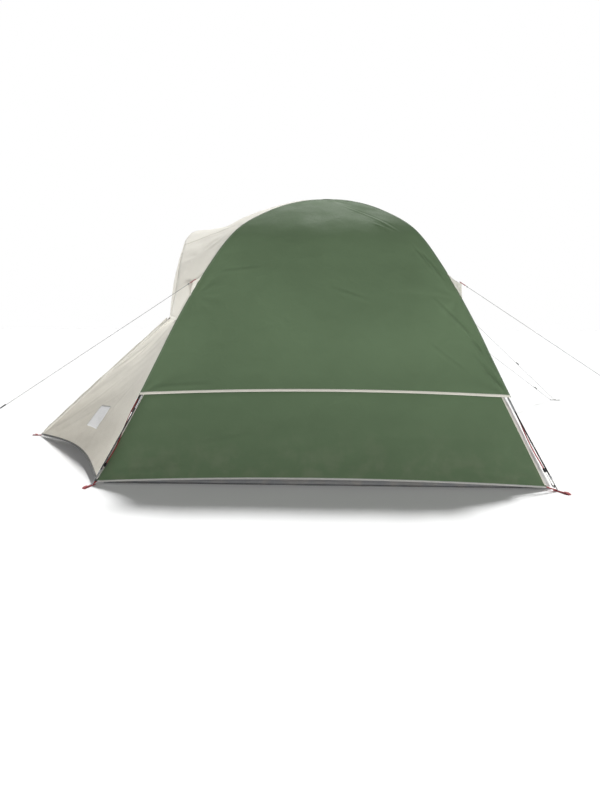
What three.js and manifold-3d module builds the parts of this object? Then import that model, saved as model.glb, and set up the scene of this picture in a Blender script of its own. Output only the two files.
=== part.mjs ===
// A dome tent with a porch. Two long fibreglass poles cross over the cabin and a shorter brow pole
// holds up the porch hood. The flysheet hangs over the poles, and the inner tent hangs under them.
// Millimetres, +Z up, +X to the rear, -X to the porch. The origin is on the ground, under the middle
// of the tent and its ground loops.
import * as THREE from 'three';
import { mergeVertices } from 'three/addons/utils/BufferGeometryUtils.js';
import Module from 'manifold-3d';

const wasm = await Module();
wasm.setup();

// ---- Driving dimensions ----
const FOOT = 1500; // from the dome's axis to each foot, along X and along Y
const DOME_X = 466.6; // the dome's axis, forward of which the porch reaches out
const POLE_R = 4.75;
const POLE_CROSSING_DROP = 11; // the second pole passes under the first one
const END_SECTION = 630; // from the ground to the middle of the first ferrule, along the pole
const PIN_LENGTH = 95;
const PIN_R = 2.8;
const PIN_START = 8; // the pin begins this far up, clear of the ground loop
const FERRULE_LENGTH = 100;
const FERRULE_R = 6.4;
const FERRULE_BORE = 5.2;
const GAP = 0.35; // between pieces that meet face to face
const FABRIC = 3;
const FLY_CLEARANCE = 15; // pole centre to flysheet
const FLY_HEM_Z = 560;
const HEM_RISE = 30; // each hem is cut with an arch, so its middle is higher than its ends
const CORNER_SETBACK = 4; // what each panel stops short of a corner seam
const GROUND = 4; // groundsheet thickness
const FLOOR_HALF = 1440;

// Half of the dome's cross-section, from a foot to the crown: half-width, height.
const HOOP = [
  [FOOT, 0], [1275, 440], [1127, 760], [990, 1060], [810, 1400], [630, 1660], [420, 1805],
  [210, 1888], [0, 1920],
];
// Half of the inner tent's cross-section. Its lower part is straight.
const INNER_HOOP = [[1432, 10], [868, 1200], [700, 1450], [500, 1662], [300, 1775], [150, 1832], [24, 1858]];

// Porch: the peg point, the ridge point over the door, and the brow pole's half arch.
const PORCH_PEG = new THREE.Vector3(-2420, 0, 12);
const RIDGE_TOP = new THREE.Vector3(-1285, 0, 1000);
const BROW = [
  [-1058, -1020, 1060], [-1032, -930, 1240], [-1030, -780, 1420], [-1043, -550, 1556],
  [-1054, -380, 1614], [-1046, -190, 1669], [-1012, 0, 1698],
];
const BROW_CORNER = new THREE.Vector3(...BROW[0]);
const HOOD_SEAM_HALF = 605; // where the hood leaves the main poles, as a half-width of the dome
// The roof over the porch side of the dome, along its middle: X and height, from the hood to the crown.
const FRONT_RIDGE = [[-790, 1722], [-694, 1775], [-460, 1872], [-223, 1922], [-20, 1936]];

// Guy lines: where each leaves its tab and where it meets the ground, in this order:
// porch side near, rear side near, rear side far, and the lower one of the rear side far.
const TAB_HALF = 932;
const TAB_Z = 1296;
const REAR_TAB_HALF = 960;
const REAR_TAB_Z = 1280;
const LOW_TAB_HALF = 1105;
const LOW_TAB_Z = 930;
const GUY_R = 1.5;
const GUY_END_Z = 4;
const guy = (name, tab, groundX, groundY, runner) => ({
  name,
  tab: new THREE.Vector3(...tab),
  ground: new THREE.Vector3(groundX, groundY, GUY_END_Z),
  runner, // how far along the line its runner is
});
const GUYS = [
  guy('porch_near', [-TAB_HALF, -TAB_HALF, TAB_Z], -2830, -1650, 0.62),
  guy('rear_near', [REAR_TAB_HALF, -REAR_TAB_HALF, REAR_TAB_Z], 2830, -1650, 0.62),
  guy('rear_far', [REAR_TAB_HALF, REAR_TAB_HALF, REAR_TAB_Z], 2440, 2000, 0.66),
  guy('rear_far_low', [LOW_TAB_HALF, LOW_TAB_HALF, LOW_TAB_Z], 2400, 2020, 0.84),
];
const GUY_EYE = 70; // length of the tied loop that lies on the ground
const RUNNER = { length: 42, width: 15, height: 9, hole: 2.3 };

// ---- Materials ----
const paint = (color, roughness, metalness = 0) => (
  new THREE.MeshStandardMaterial({ color, roughness, metalness }));
const GREEN = paint(0x5c7052, 0.75);
const BEIGE = paint(0xd7cdbe, 0.75);
const PALE = paint(0xe6e5df, 0.85);
const RED = paint(0xa81e2b, 0.8);
const BLACK_GLASS = paint(0x151517, 0.4);
const STEEL = paint(0x9aa0a4, 0.3, 1);
const BLACK_PLASTIC = paint(0x1b1b1d, 0.5);
const FLOOR = paint(0x6d7378, 0.7);
const LINE = paint(0xc9cbc8, 0.8);

const tent = new THREE.Group();
tent.position.x = DOME_X;

function addMesh(name, geometry, material) {
  const mesh = new THREE.Mesh(geometry, material);
  mesh.name = name;
  tent.add(mesh);
  return mesh;
}

// ---- Solids ----

// A closed solid from a grid of points: the grid is its middle surface.
function sheetFromGrid(grid, thickness = FABRIC) {
  const rows = grid.length;
  const columns = grid[0].length;
  const positions = [];
  const at = (i, j) => grid[Math.min(Math.max(i, 0), rows - 1)][Math.min(Math.max(j, 0), columns - 1)];
  for (const side of [0.5, -0.5]) {
    for (let i = 0; i < rows; i += 1) {
      for (let j = 0; j < columns; j += 1) {
        const alongRows = at(i + 1, j).clone().sub(at(i - 1, j));
        const alongColumns = at(i, j + 1).clone().sub(at(i, j - 1));
        const normal = alongRows.cross(alongColumns).normalize();
        positions.push(...at(i, j).clone().addScaledVector(normal, side * thickness).toArray());
      }
    }
  }
  const index = [];
  const quad = (a, b, c, d) => index.push(a, b, c, a, c, d);
  const back = rows * columns;
  const id = (i, j) => i * columns + j;
  for (let i = 0; i < rows - 1; i += 1) {
    for (let j = 0; j < columns - 1; j += 1) {
      quad(id(i, j), id(i + 1, j), id(i + 1, j + 1), id(i, j + 1));
      quad(back + id(i, j + 1), back + id(i + 1, j + 1), back + id(i + 1, j), back + id(i, j));
    }
  }
  const rim = [];
  for (let i = 0; i < rows - 1; i += 1) rim.push(id(i, 0));
  for (let j = 0; j < columns - 1; j += 1) rim.push(id(rows - 1, j));
  for (let i = rows - 1; i > 0; i -= 1) rim.push(id(i, columns - 1));
  for (let j = columns - 1; j > 0; j -= 1) rim.push(id(0, j));
  rim.forEach((start, k) => {
    const end = rim[(k + 1) % rim.length];
    quad(end, start, back + start, back + end);
  });
  const geometry = new THREE.BufferGeometry();
  geometry.setAttribute('position', new THREE.Float32BufferAttribute(positions, 3));
  geometry.setIndex(index);
  return geometry;
}

// A grid from a function of two parameters that run from 0 to 1.
function grid(rows, columns, point) {
  return Array.from({ length: rows + 1 }, (_, i) => (
    Array.from({ length: columns + 1 }, (_, j) => point(i / rows, j / columns))));
}

// A patch between four boundary curves, each a function from 0 to 1 that returns a point.
function patchPoint(bottom, top, left, right, across, up) {
  const point = bottom(across).multiplyScalar(1 - up).addScaledVector(top(across), up);
  point.addScaledVector(left(up), 1 - across).addScaledVector(right(up), across);
  const corners = [[bottom(0), (1 - across) * (1 - up)], [bottom(1), across * (1 - up)],
    [top(0), (1 - across) * up], [top(1), across * up]];
  corners.forEach(([corner, weight]) => point.addScaledVector(corner, -weight));
  return point;
}

function roundSection(radius, hole = 0) {
  const shape = new THREE.Shape().absarc(0, 0, radius, 0, Math.PI * 2);
  if (hole > 0) shape.holes.push(new THREE.Path().absarc(0, 0, hole, 0, Math.PI * 2, true));
  return shape;
}

// A full circle is drawn with twice as many sides as its curve segments.
function tubeAlong(curve, section, steps, sides) {
  return new THREE.ExtrudeGeometry(section, { extrudePath: curve, steps, curveSegments: sides / 2 });
}

// The stretch of a curve between two lengths from its start.
function stretch(curve, from, to, pieces) {
  const total = curve.getLength();
  const points = Array.from({ length: pieces + 1 }, (_, i) => (
    curve.getPointAt((from + ((to - from) * i) / pieces) / total)));
  return new THREE.CatmullRomCurve3(points);
}

// A flat plate from an outline in the plane of three points: origin, along and up.
function plate(origin, along, up, outline, thickness) {
  const x = along.clone().sub(origin).normalize();
  const z = x.clone().cross(up.clone().sub(origin)).normalize();
  const y = z.clone().cross(x);
  const flatten = (p) => new THREE.Vector2(p.clone().sub(origin).dot(x), p.clone().sub(origin).dot(y));
  const shape = new THREE.Shape(outline.map(flatten));
  const geometry = new THREE.ExtrudeGeometry(shape, { depth: thickness, bevelEnabled: false });
  geometry.translate(0, 0, -thickness / 2);
  return geometry.applyMatrix4(new THREE.Matrix4().makeBasis(x, y, z).setPosition(origin));
}

// A triangle shrunk by the same amount on each side.
function insetTriangle(corners, amount) {
  const length = (a, b) => corners[a].distanceTo(corners[b]);
  const sides = [length(1, 2), length(2, 0), length(0, 1)];
  const perimeter = sides[0] + sides[1] + sides[2];
  const centre = new THREE.Vector3();
  corners.forEach((corner, i) => centre.addScaledVector(corner, sides[i] / perimeter));
  const area = corners[1].clone().sub(corners[0]).cross(corners[2].clone().sub(corners[0])).length() / 2;
  const scale = 1 - (amount * perimeter) / (2 * area);
  return corners.map((corner) => centre.clone().lerp(corner, scale));
}

function toManifold(geometry) {
  const bare = geometry.clone();
  bare.deleteAttribute('normal');
  bare.deleteAttribute('uv');
  const merged = mergeVertices(bare, 1e-3);
  return new wasm.Manifold(new wasm.Mesh({
    numProp: 3,
    vertProperties: new Float32Array(merged.attributes.position.array),
    triVerts: new Uint32Array(merged.index.array),
  }));
}

function fromManifold(solid) {
  const mesh = solid.getMesh();
  const geometry = new THREE.BufferGeometry();
  geometry.setAttribute('position', new THREE.BufferAttribute(new Float32Array(mesh.vertProperties), 3));
  geometry.setIndex(new THREE.BufferAttribute(new Uint32Array(mesh.triVerts), 1));
  return geometry;
}

const mirrorY = (p) => new THREE.Vector3(p.x, -p.y, p.z);

// ---- The dome's cross-section ----
const hoopCurve = new THREE.SplineCurve([
  ...HOOP.map(([half, z]) => new THREE.Vector2(-half, z)),
  ...HOOP.slice(0, -1).reverse().map(([half, z]) => new THREE.Vector2(half, z)),
]);

// A point of the flysheet's cross-section, as half-width and height: up runs from the foot to the crown.
function flySection(up) {
  const t = Math.min(Math.max(up, 0), 1) / 2;
  const point = hoopCurve.getPoint(t);
  const tangent = hoopCurve.getTangent(t);
  return { half: -point.x + tangent.y * FLY_CLEARANCE, z: point.y + tangent.x * FLY_CLEARANCE };
}

// How far up the section a height or a half-width is.
function findUp(test) {
  let low = 0;
  let high = 1;
  for (let i = 0; i < 40; i += 1) {
    const middle = (low + high) / 2;
    if (test(flySection(middle))) low = middle;
    else high = middle;
  }
  return low;
}
const HEM_UP = findUp((p) => p.z < FLY_HEM_Z);
const HOOD_UP = findUp((p) => p.half > HOOD_SEAM_HALF);
const BROW_UP = findUp((p) => p.z < BROW[0][2]);
const CROWN_UP = 0.985; // the crown patch covers the panels' last stretch
const lerp = THREE.MathUtils.lerp;

// ---- Poles ----
function mainPole(slant, drop) {
  const points = HOOP.map(([half, z]) => {
    const lowered = half < FOOT / 3 ? z - drop * (1 - half / (FOOT / 3)) : z;
    return new THREE.Vector3(-half, -half * slant, lowered);
  });
  const otherHalf = points.slice(0, -1).reverse().map((p) => new THREE.Vector3(-p.x, -p.y, p.z));
  return new THREE.CatmullRomCurve3([...points, ...otherHalf], false, 'catmullrom', 0.5);
}

// The dome's corners: how each one is called, and on which side of the dome it is.
const CORNERS = [
  { name: 'porch_near', x: -1, y: -1 },
  { name: 'rear_far', x: 1, y: 1 },
  { name: 'porch_far', x: -1, y: 1 },
  { name: 'rear_near', x: 1, y: -1 },
];
const pole = roundSection(POLE_R);
const MAIN_POLES = [
  { name: 'main_pole_a', curve: mainPole(1, 0), start: CORNERS[0], end: CORNERS[1] },
  { name: 'main_pole_b', curve: mainPole(-1, POLE_CROSSING_DROP), start: CORNERS[2], end: CORNERS[3] },
];
MAIN_POLES.forEach(({ name, curve, start, end }) => {
  const total = curve.getLength();
  const arch = stretch(curve, END_SECTION, total - END_SECTION, 40);
  addMesh(`${name}_arch`, tubeAlong(arch, pole, 44, 8), BLACK_GLASS);
  [[start, (d) => d], [end, (d) => total - d]].forEach(([corner, at]) => {
    const lower = stretch(curve, at(PIN_LENGTH), at(END_SECTION - GAP), 6);
    addMesh(`pole_end_${corner.name}`, tubeAlong(lower, pole, 6, 8), BLACK_GLASS);
    const ferruleEnds = [-1, 1].map((side) => at(END_SECTION + (side * FERRULE_LENGTH) / 2));
    const sleeve = roundSection(FERRULE_R, FERRULE_BORE);
    const ferrule = tubeAlong(stretch(curve, ...ferruleEnds, 3), sleeve, 3, 12);
    addMesh(`ferrule_${corner.name}`, ferrule, STEEL);
    const pinPoints = [at(PIN_START), at(PIN_LENGTH - GAP)].map((d) => curve.getPointAt(d / total));
    const pin = new THREE.LineCurve3(...pinPoints);
    addMesh(`foot_pin_${corner.name}`, tubeAlong(pin, roundSection(PIN_R), 1, 10), STEEL);
  });
});

// ---- Brow pole ----
function browCurve(outward) {
  const near = BROW.map(([x, y, z]) => {
    const inward = new THREE.Vector3(0, y, z - 1000).normalize().multiplyScalar(outward);
    return new THREE.Vector3(x, y, z).add(inward);
  });
  return new THREE.CatmullRomCurve3([...near, ...near.slice(0, -1).reverse().map(mirrorY)]);
}
const browEdge = browCurve(0);
const BROW_POLE_DEPTH = 19; // pole centre to the hood's edge
const browPoleCurve = browCurve(-BROW_POLE_DEPTH);
const browLength = browPoleCurve.getLength();
const BROW_END = 75; // what the brow pole stops short of the hood's corner
const browPole = stretch(browPoleCurve, BROW_END, browLength - BROW_END, 28);
addMesh('brow_pole', tubeAlong(browPole, pole, 30, 8), BLACK_GLASS);

// ---- Flysheet over the dome ----
// The three plain sides are the same panel, turned about the dome's axis.
function sidePanelGrid(hemUp, crownUp, rows, columns, turn) {
  return grid(rows, columns, (i, j) => {
    const section = flySection(lerp(hemUp, crownUp, i));
    const reach = section.half - CORNER_SETBACK;
    const rise = HEM_RISE * (1 - i) ** 6 * (1 - (2 * j - 1) ** 2);
    const point = new THREE.Vector3(lerp(-reach, reach, j), -section.half, section.z + rise);
    return point.applyAxisAngle(new THREE.Vector3(0, 0, 1), turn);
  });
}
const SIDES = [
  { name: 'near', turn: 0 },
  { name: 'rear', turn: Math.PI / 2 },
  { name: 'far', turn: Math.PI },
];
SIDES.forEach(({ name, turn }) => {
  const panel = sheetFromGrid(sidePanelGrid(HEM_UP, CROWN_UP, 20, 4, turn));
  addMesh(`fly_side_${name}`, panel, name === 'rear' ? BEIGE : GREEN);
});

// The front of the roof runs down from the crown to the hood, and its middle bulges forward.
const frontRidge = new THREE.SplineCurve(FRONT_RIDGE.map(([x, z]) => new THREE.Vector2(x, z)));
function roofFrontPoint(up, across) {
  const section = flySection(lerp(HOOD_UP, CROWN_UP, up));
  const middle = frontRidge.getPoint(up);
  const side = 2 * across - 1;
  const reach = section.half - CORNER_SETBACK;
  return new THREE.Vector3(
    lerp(middle.x, -section.half, side ** 2),
    side * reach,
    lerp(middle.y, section.z, side ** 2),
  );
}
addMesh('fly_roof_front', sheetFromGrid(grid(12, 10, roofFrontPoint)), BEIGE);
const CROWN_PATCH_R = 70;
const CROWN_PATCH_LIFT = 4.5; // over the panels' tips
const crown = new THREE.CylinderGeometry(CROWN_PATCH_R, CROWN_PATCH_R, FABRIC, 16).rotateX(Math.PI / 2);
addMesh('crown_patch', crown.translate(0, 0, flySection(1).z + CROWN_PATCH_LIFT), GREEN);

// ---- Porch ----
const lineTo = (from, to) => (t) => from.clone().lerp(to, t);
const SEAM_SHIFT = new THREE.Vector3(-CORNER_SETBACK, 0, 0); // keeps the porch clear of the side panels
// The line on the dome that the porch is sewn to, from the foot to the hood's roof, on the near side.
function domeSeam(up) {
  const section = flySection(up);
  return new THREE.Vector3(-section.half, -section.half + CORNER_SETBACK, section.z).add(SEAM_SHIFT);
}
const PORCH_FOOT_UP = 0.02; // the porch wall ends a little above the foot
const SEAM_TOP_UP = BROW_UP - 0.012; // and just under the hood
const HOOD_DROP = 12;
const porchFoot = domeSeam(PORCH_FOOT_UP);
const seamTop = domeSeam(SEAM_TOP_UP);
const cornerLow = BROW_CORNER.clone().add(new THREE.Vector3(0, 0, -HOOD_DROP));

// The hem from the foot to the peg is cut hollow and lifts off the ground between them.
const HEM_HOLLOW = new THREE.Vector3(88, 34, 36);
const HEM_END = 0.985; // the wall stops just short of the peg
function porchHem(t) {
  return porchFoot.clone().lerp(PORCH_PEG, t).addScaledVector(HEM_HOLLOW, Math.sin(Math.PI * t));
}
const porchSideNear = grid(12, 10, (up, across) => patchPoint(
  (t) => porchHem(t * HEM_END),
  lineTo(seamTop, cornerLow),
  (t) => domeSeam(lerp(PORCH_FOOT_UP, SEAM_TOP_UP, t)),
  lineTo(porchHem(HEM_END), cornerLow),
  across,
  up,
));
const mirrorGrid = (rows) => rows.map((row) => row.map(mirrorY).reverse());
addMesh('porch_side_near', sheetFromGrid(porchSideNear), BEIGE);
addMesh('porch_side_far', sheetFromGrid(mirrorGrid(porchSideNear)), BEIGE);

// Two doors meet at the ridge zip. Each turns about its line from the peg to the brow pole's end.
const DOOR_INSET = 6;
const PEG_SETBACK = new THREE.Vector3(10, -10, 2); // keeps the two doors apart at the peg
const pegCorner = PORCH_PEG.clone().add(PEG_SETBACK);
const doorNear = insetTriangle([pegCorner, BROW_CORNER, RIDGE_TOP], DOOR_INSET);
addMesh('porch_door_near', plate(doorNear[0], doorNear[1], doorNear[2], doorNear, FABRIC), BEIGE);
const [farPeg, farBrow, farRidge] = doorNear.map(mirrorY);
const farOutline = [farPeg, farRidge, farBrow];
addMesh('porch_door_far', plate(farPeg, farRidge, farBrow, farOutline, FABRIC), BEIGE);

// The slider hangs on the near door's edge, at the foot of the ridge zip.
const SLIDER_UP = 110; // from the foot of the ridge
const SLIDER_LIFT = 6;
const SLIDER_SIZE = [28, 10, 5];
const ridgeDirection = doorNear[2].clone().sub(doorNear[0]).normalize();
const doorNormal = doorNear[1].clone().sub(doorNear[0]).cross(ridgeDirection).normalize().negate();
if (doorNormal.z < 0) doorNormal.negate();
const sliderAt = doorNear[0].clone();
sliderAt.addScaledVector(ridgeDirection, SLIDER_UP).addScaledVector(doorNormal, SLIDER_LIFT);
const sliderSide = doorNormal.clone().cross(ridgeDirection);
const slider = new THREE.BoxGeometry(...SLIDER_SIZE);
const sliderTurn = new THREE.Matrix4().makeBasis(ridgeDirection, sliderSide, doorNormal);
slider.applyMatrix4(sliderTurn.setPosition(sliderAt));
addMesh('zip_slider', slider, STEEL);

// The front wall over the doors hangs from the brow pole.
const FRONT_MARGIN = 0.012; // share of the arch left free at each end
const FRONT_OFFSET = new THREE.Vector3(-9, 0, -4); // from the hood's edge
const FRONT_LIFT = 8; // over the doors
const FRONT_BELLY = 18;
const SILL_SPREAD = 0.985; // the sill stops just short of the brow's corners
function frontWallPoint(down, across) {
  const t = lerp(FRONT_MARGIN, 1 - FRONT_MARGIN, across);
  const side = 2 * across - 1;
  const sill = RIDGE_TOP.clone().lerp(BROW_CORNER, Math.abs(side));
  sill.y = side * -BROW_CORNER.y * SILL_SPREAD;
  sill.z += FRONT_LIFT;
  const point = browEdge.getPoint(t).add(FRONT_OFFSET).lerp(sill, down);
  point.x -= Math.sin(Math.PI * down) * (1 - side ** 2) * FRONT_BELLY;
  return point;
}
addMesh('porch_front_wall', sheetFromGrid(grid(6, 20, frontWallPoint)), BEIGE);

// The hood spans from the dome to the brow pole.
const SHOULDER = 0.42; // the share of the brow pole on each side that runs along a main pole
const HOOD_OFFSET = new THREE.Vector3(3, 0, 3); // from the brow arch
function hoodSeam(across) {
  const side = 2 * across - 1;
  const alongPole = Math.min((1 - Math.abs(side)) / SHOULDER, 1);
  if (alongPole < 1) {
    const up = lerp(BROW_UP + 0.012, HOOD_UP - 0.006, alongPole);
    const point = domeSeam(up);
    return side < 0 ? point : mirrorY(point);
  }
  const roof = roofFrontPoint(0, 0.5 + (side / (1 - SHOULDER)) * 0.5);
  return roof.add(new THREE.Vector3(-CORNER_SETBACK - 2, 0, -2));
}
function hoodPoint(out, across) {
  const arch = browEdge.getPoint(lerp(FRONT_MARGIN, 1 - FRONT_MARGIN, across)).add(HOOD_OFFSET);
  return hoodSeam(across).lerp(arch, out);
}
addMesh('porch_hood', sheetFromGrid(grid(4, 28, hoodPoint)), BEIGE);

// ---- Lower walls ----
// They hang inside the poles, from behind the upper hem down to the ground.
const LOWER_TOP = { half: 1176, z: 602 };
const LOWER_BOTTOM = { half: 1466, z: 14 };
function lowerWall(fromTop, toTop, fromBottom, toBottom, arch, turn) {
  return grid(6, 10, (up, across) => {
    const bottomRise = arch * (1 - (2 * across - 1) ** 2) * (1 - up) ** 2;
    const point = new THREE.Vector3(
      lerp(lerp(fromBottom, toBottom, across), lerp(fromTop, toTop, across), up),
      -lerp(LOWER_BOTTOM.half, LOWER_TOP.half, up),
      lerp(LOWER_BOTTOM.z, LOWER_TOP.z, up) + bottomRise,
    );
    return point.applyAxisAngle(new THREE.Vector3(0, 0, 1), turn);
  });
}
const WALL_ARCH = 36; // the hem's rise in the middle
// Each near end stops behind a pole, and each rear end shows a strip of the inner tent.
const WALL_TOP = [1196, 1168];
const WALL_BOTTOM = [1486, 1438];
const REAR_WALL = { top: 1152, bottom: 1436 };
const nearWall = lowerWall(-WALL_TOP[0], WALL_TOP[1], -WALL_BOTTOM[0], WALL_BOTTOM[1], WALL_ARCH, 0);
const farWall = lowerWall(-WALL_TOP[1], WALL_TOP[0], -WALL_BOTTOM[1], WALL_BOTTOM[0], WALL_ARCH, Math.PI);
addMesh('lower_wall_near', sheetFromGrid(nearWall), GREEN);
addMesh('lower_wall_far', sheetFromGrid(farWall), GREEN);
const { top, bottom } = REAR_WALL;
const rearWall = lowerWall(-top, top, -bottom, bottom, WALL_ARCH, Math.PI / 2);
addMesh('lower_wall_rear', sheetFromGrid(rearWall), BEIGE);

// ---- Inner tent ----
const innerCurve = new THREE.SplineCurve(INNER_HOOP.map(([half, z]) => new THREE.Vector2(half, z)));
const INNER_LEVELS = [0, 1 / 12, 1 / 6, 1.5 / 6, 2 / 6, 2.5 / 6, 3 / 6, 3.5 / 6, 4 / 6, 5 / 6, 1];
function innerSection(level) {
  const straight = new THREE.Vector2(...INNER_HOOP[0]).lerp(new THREE.Vector2(...INNER_HOOP[1]), level * 6);
  return level <= 1 / 6 ? straight : innerCurve.getPoint(level);
}
function innerWall(turn) {
  return INNER_LEVELS.map((level) => [-1, 0, 1].map((side) => {
    const section = innerSection(level);
    const point = new THREE.Vector3(side * (section.x - CORNER_SETBACK), -section.x, section.y);
    return point.applyAxisAngle(new THREE.Vector3(0, 0, 1), turn);
  }));
}
SIDES.forEach(({ name, turn }) => addMesh(`inner_wall_${name}`, sheetFromGrid(innerWall(turn)), PALE));

// The front wall has the doorway. Its door is rolled up and tied beside it, on the porch side.
const doorwayPoint = (y, z) => {
  const share = (z - INNER_HOOP[0][1]) / (INNER_HOOP[1][1] - INNER_HOOP[0][1]);
  return new THREE.Vector3(-lerp(INNER_HOOP[0][0], INNER_HOOP[1][0], share), y, z);
};
const DOOR = { half: 430, sill: 190, spring: 880, top: 1120 };
const doorwayOutline = [doorwayPoint(-DOOR.half, DOOR.sill), doorwayPoint(DOOR.half, DOOR.sill)];
const ARCH_STEPS = 12;
for (let i = 0; i <= ARCH_STEPS; i += 1) {
  const angle = (Math.PI * i) / ARCH_STEPS;
  const rise = (DOOR.top - DOOR.spring) * Math.sin(angle);
  doorwayOutline.push(doorwayPoint(DOOR.half * Math.cos(angle), DOOR.spring + rise));
}
const doorwayAxes = [doorwayPoint(0, 200), doorwayPoint(-400, 200), doorwayPoint(0, 900)];
const doorwayCutter = plate(...doorwayAxes, doorwayOutline, 40);
const innerFront = toManifold(sheetFromGrid(innerWall(-Math.PI / 2)));
addMesh('inner_wall_front', fromManifold(innerFront.subtract(toManifold(doorwayCutter))), PALE);

const ROLL_R = 27;
const wallUp = doorwayPoint(0, DOOR.top).sub(doorwayPoint(0, DOOR.sill));
const wallNormal = new THREE.Vector3(0, 1, 0).cross(wallUp).normalize();
if (wallNormal.x > 0) wallNormal.negate();
const rollEnds = [DOOR.sill + 10, DOOR.spring + 120].map((z) => (
  doorwayPoint(-DOOR.half - ROLL_R, z).addScaledVector(wallNormal, ROLL_R + 3)));
addMesh('inner_door_roll', tubeAlong(new THREE.LineCurve3(...rollEnds), roundSection(ROLL_R), 4, 12), PALE);

// The groundsheet lies flat under the inner tent.
const groundsheet = new THREE.BoxGeometry(2 * FLOOR_HALF, 2 * FLOOR_HALF, GROUND);
addMesh('groundsheet', groundsheet.translate(0, 0, GROUND / 2), FLOOR);

// ---- Corners ----
// A red strap loop lies on the ground at each foot, and the foot pin stands in its eyelet.
const LOOP = { width: 25, thickness: 3, slot: 14, slotLength: 48, margin: 10 }; // a peg goes through the slot
const FOOT_LOOP = { inward: 34, outward: 90, turn: 1.45 }; // turn leans the loops away from the porch's axis
const PORCH_LOOP = { inward: 6, outward: 68 };
function groundLoop(name, at, along, inward, outward) {
  const shape = new THREE.Shape();
  const half = LOOP.width / 2;
  shape.moveTo(-inward, -half);
  shape.lineTo(outward - half, -half);
  shape.absarc(outward - half, 0, half, -Math.PI / 2, Math.PI / 2);
  shape.lineTo(-inward, half);
  const slot = new THREE.Path();
  const slotEnd = outward - LOOP.margin;
  slot.moveTo(slotEnd - LOOP.slotLength, -LOOP.slot / 2);
  slot.lineTo(slotEnd - LOOP.slotLength, LOOP.slot / 2);
  slot.lineTo(slotEnd, LOOP.slot / 2);
  slot.lineTo(slotEnd, -LOOP.slot / 2);
  shape.holes.push(slot);
  const settings = { depth: LOOP.thickness, bevelEnabled: false, curveSegments: 8 };
  const geometry = new THREE.ExtrudeGeometry(shape, settings);
  const up = new THREE.Vector3(0, 0, 1);
  const side = up.clone().cross(along);
  geometry.applyMatrix4(new THREE.Matrix4().makeBasis(along, side, up).setPosition(at));
  addMesh(name, geometry, RED);
}
CORNERS.forEach(({ name, x, y }) => {
  const at = new THREE.Vector3(x * FOOT, y * FOOT, 1);
  const along = new THREE.Vector3(x, y * FOOT_LOOP.turn, 0).normalize();
  groundLoop(`foot_loop_${name}`, at, along, FOOT_LOOP.inward, FOOT_LOOP.outward);
});
const pegPoint = new THREE.Vector3(PORCH_PEG.x, 0, 1);
groundLoop('porch_peg_loop', pegPoint, new THREE.Vector3(-1, 0, 0), PORCH_LOOP.inward, PORCH_LOOP.outward);

// A strap runs inside each exposed pole end, from the fly's hem to the foot.
const STRAP = [[1221.5, 530], [1333, 300], [1425.5, 130], [1471.5, 34]]; // half-width and height
const STRAP_SHIFT = 6; // out of the pole's plane, so that it passes the lower wall's end
const STRAP_WIDTH = 14;
const STRAP_THICKNESS = 1.6;
CORNERS.forEach(({ name, x, y }) => {
  const route = STRAP.map(([half, z]) => (
    new THREE.Vector3(x * (half - STRAP_SHIFT), y * (half + STRAP_SHIFT), z)));
  const strapCurve = new THREE.CatmullRomCurve3(route);
  const across = new THREE.Vector3(-y, x, 0).normalize();
  const strap = strapCurve.getSpacedPoints(6).map((p) => [-1, 1].map((side) => (
    p.clone().addScaledVector(across, (side * STRAP_WIDTH) / 2))));
  addMesh(`tension_strap_${name}`, sheetFromGrid(strap, STRAP_THICKNESS), RED);
});

// Guy tabs: a short doubled strap stands out over each pole, in line with its guy line.
const TAB = { length: 46, width: 16, thickness: 2.4, clear: 3 };
function guyTab(name, tip, aim) {
  const root = tip.clone().addScaledVector(aim, -TAB.length);
  const end = tip.clone().addScaledVector(aim, -TAB.clear);
  const across = new THREE.Vector3(0, 0, 1).cross(aim).normalize();
  const rows = [root, end].map((p) => [-1, 1].map((side) => (
    p.clone().addScaledVector(across, (side * TAB.width) / 2))));
  addMesh(name, sheetFromGrid(rows, TAB.thickness), RED);
}
const aimOf = ({ tab, ground }) => ground.clone().sub(tab).normalize();
GUYS.forEach((line) => guyTab(`guy_tab_${line.name}`, line.tab, aimOf(line)));
// The far porch corner has a tab and no line, and mirrors the near one.
guyTab('guy_tab_porch_far', mirrorY(GUYS[0].tab), mirrorY(aimOf(GUYS[0])));

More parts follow.
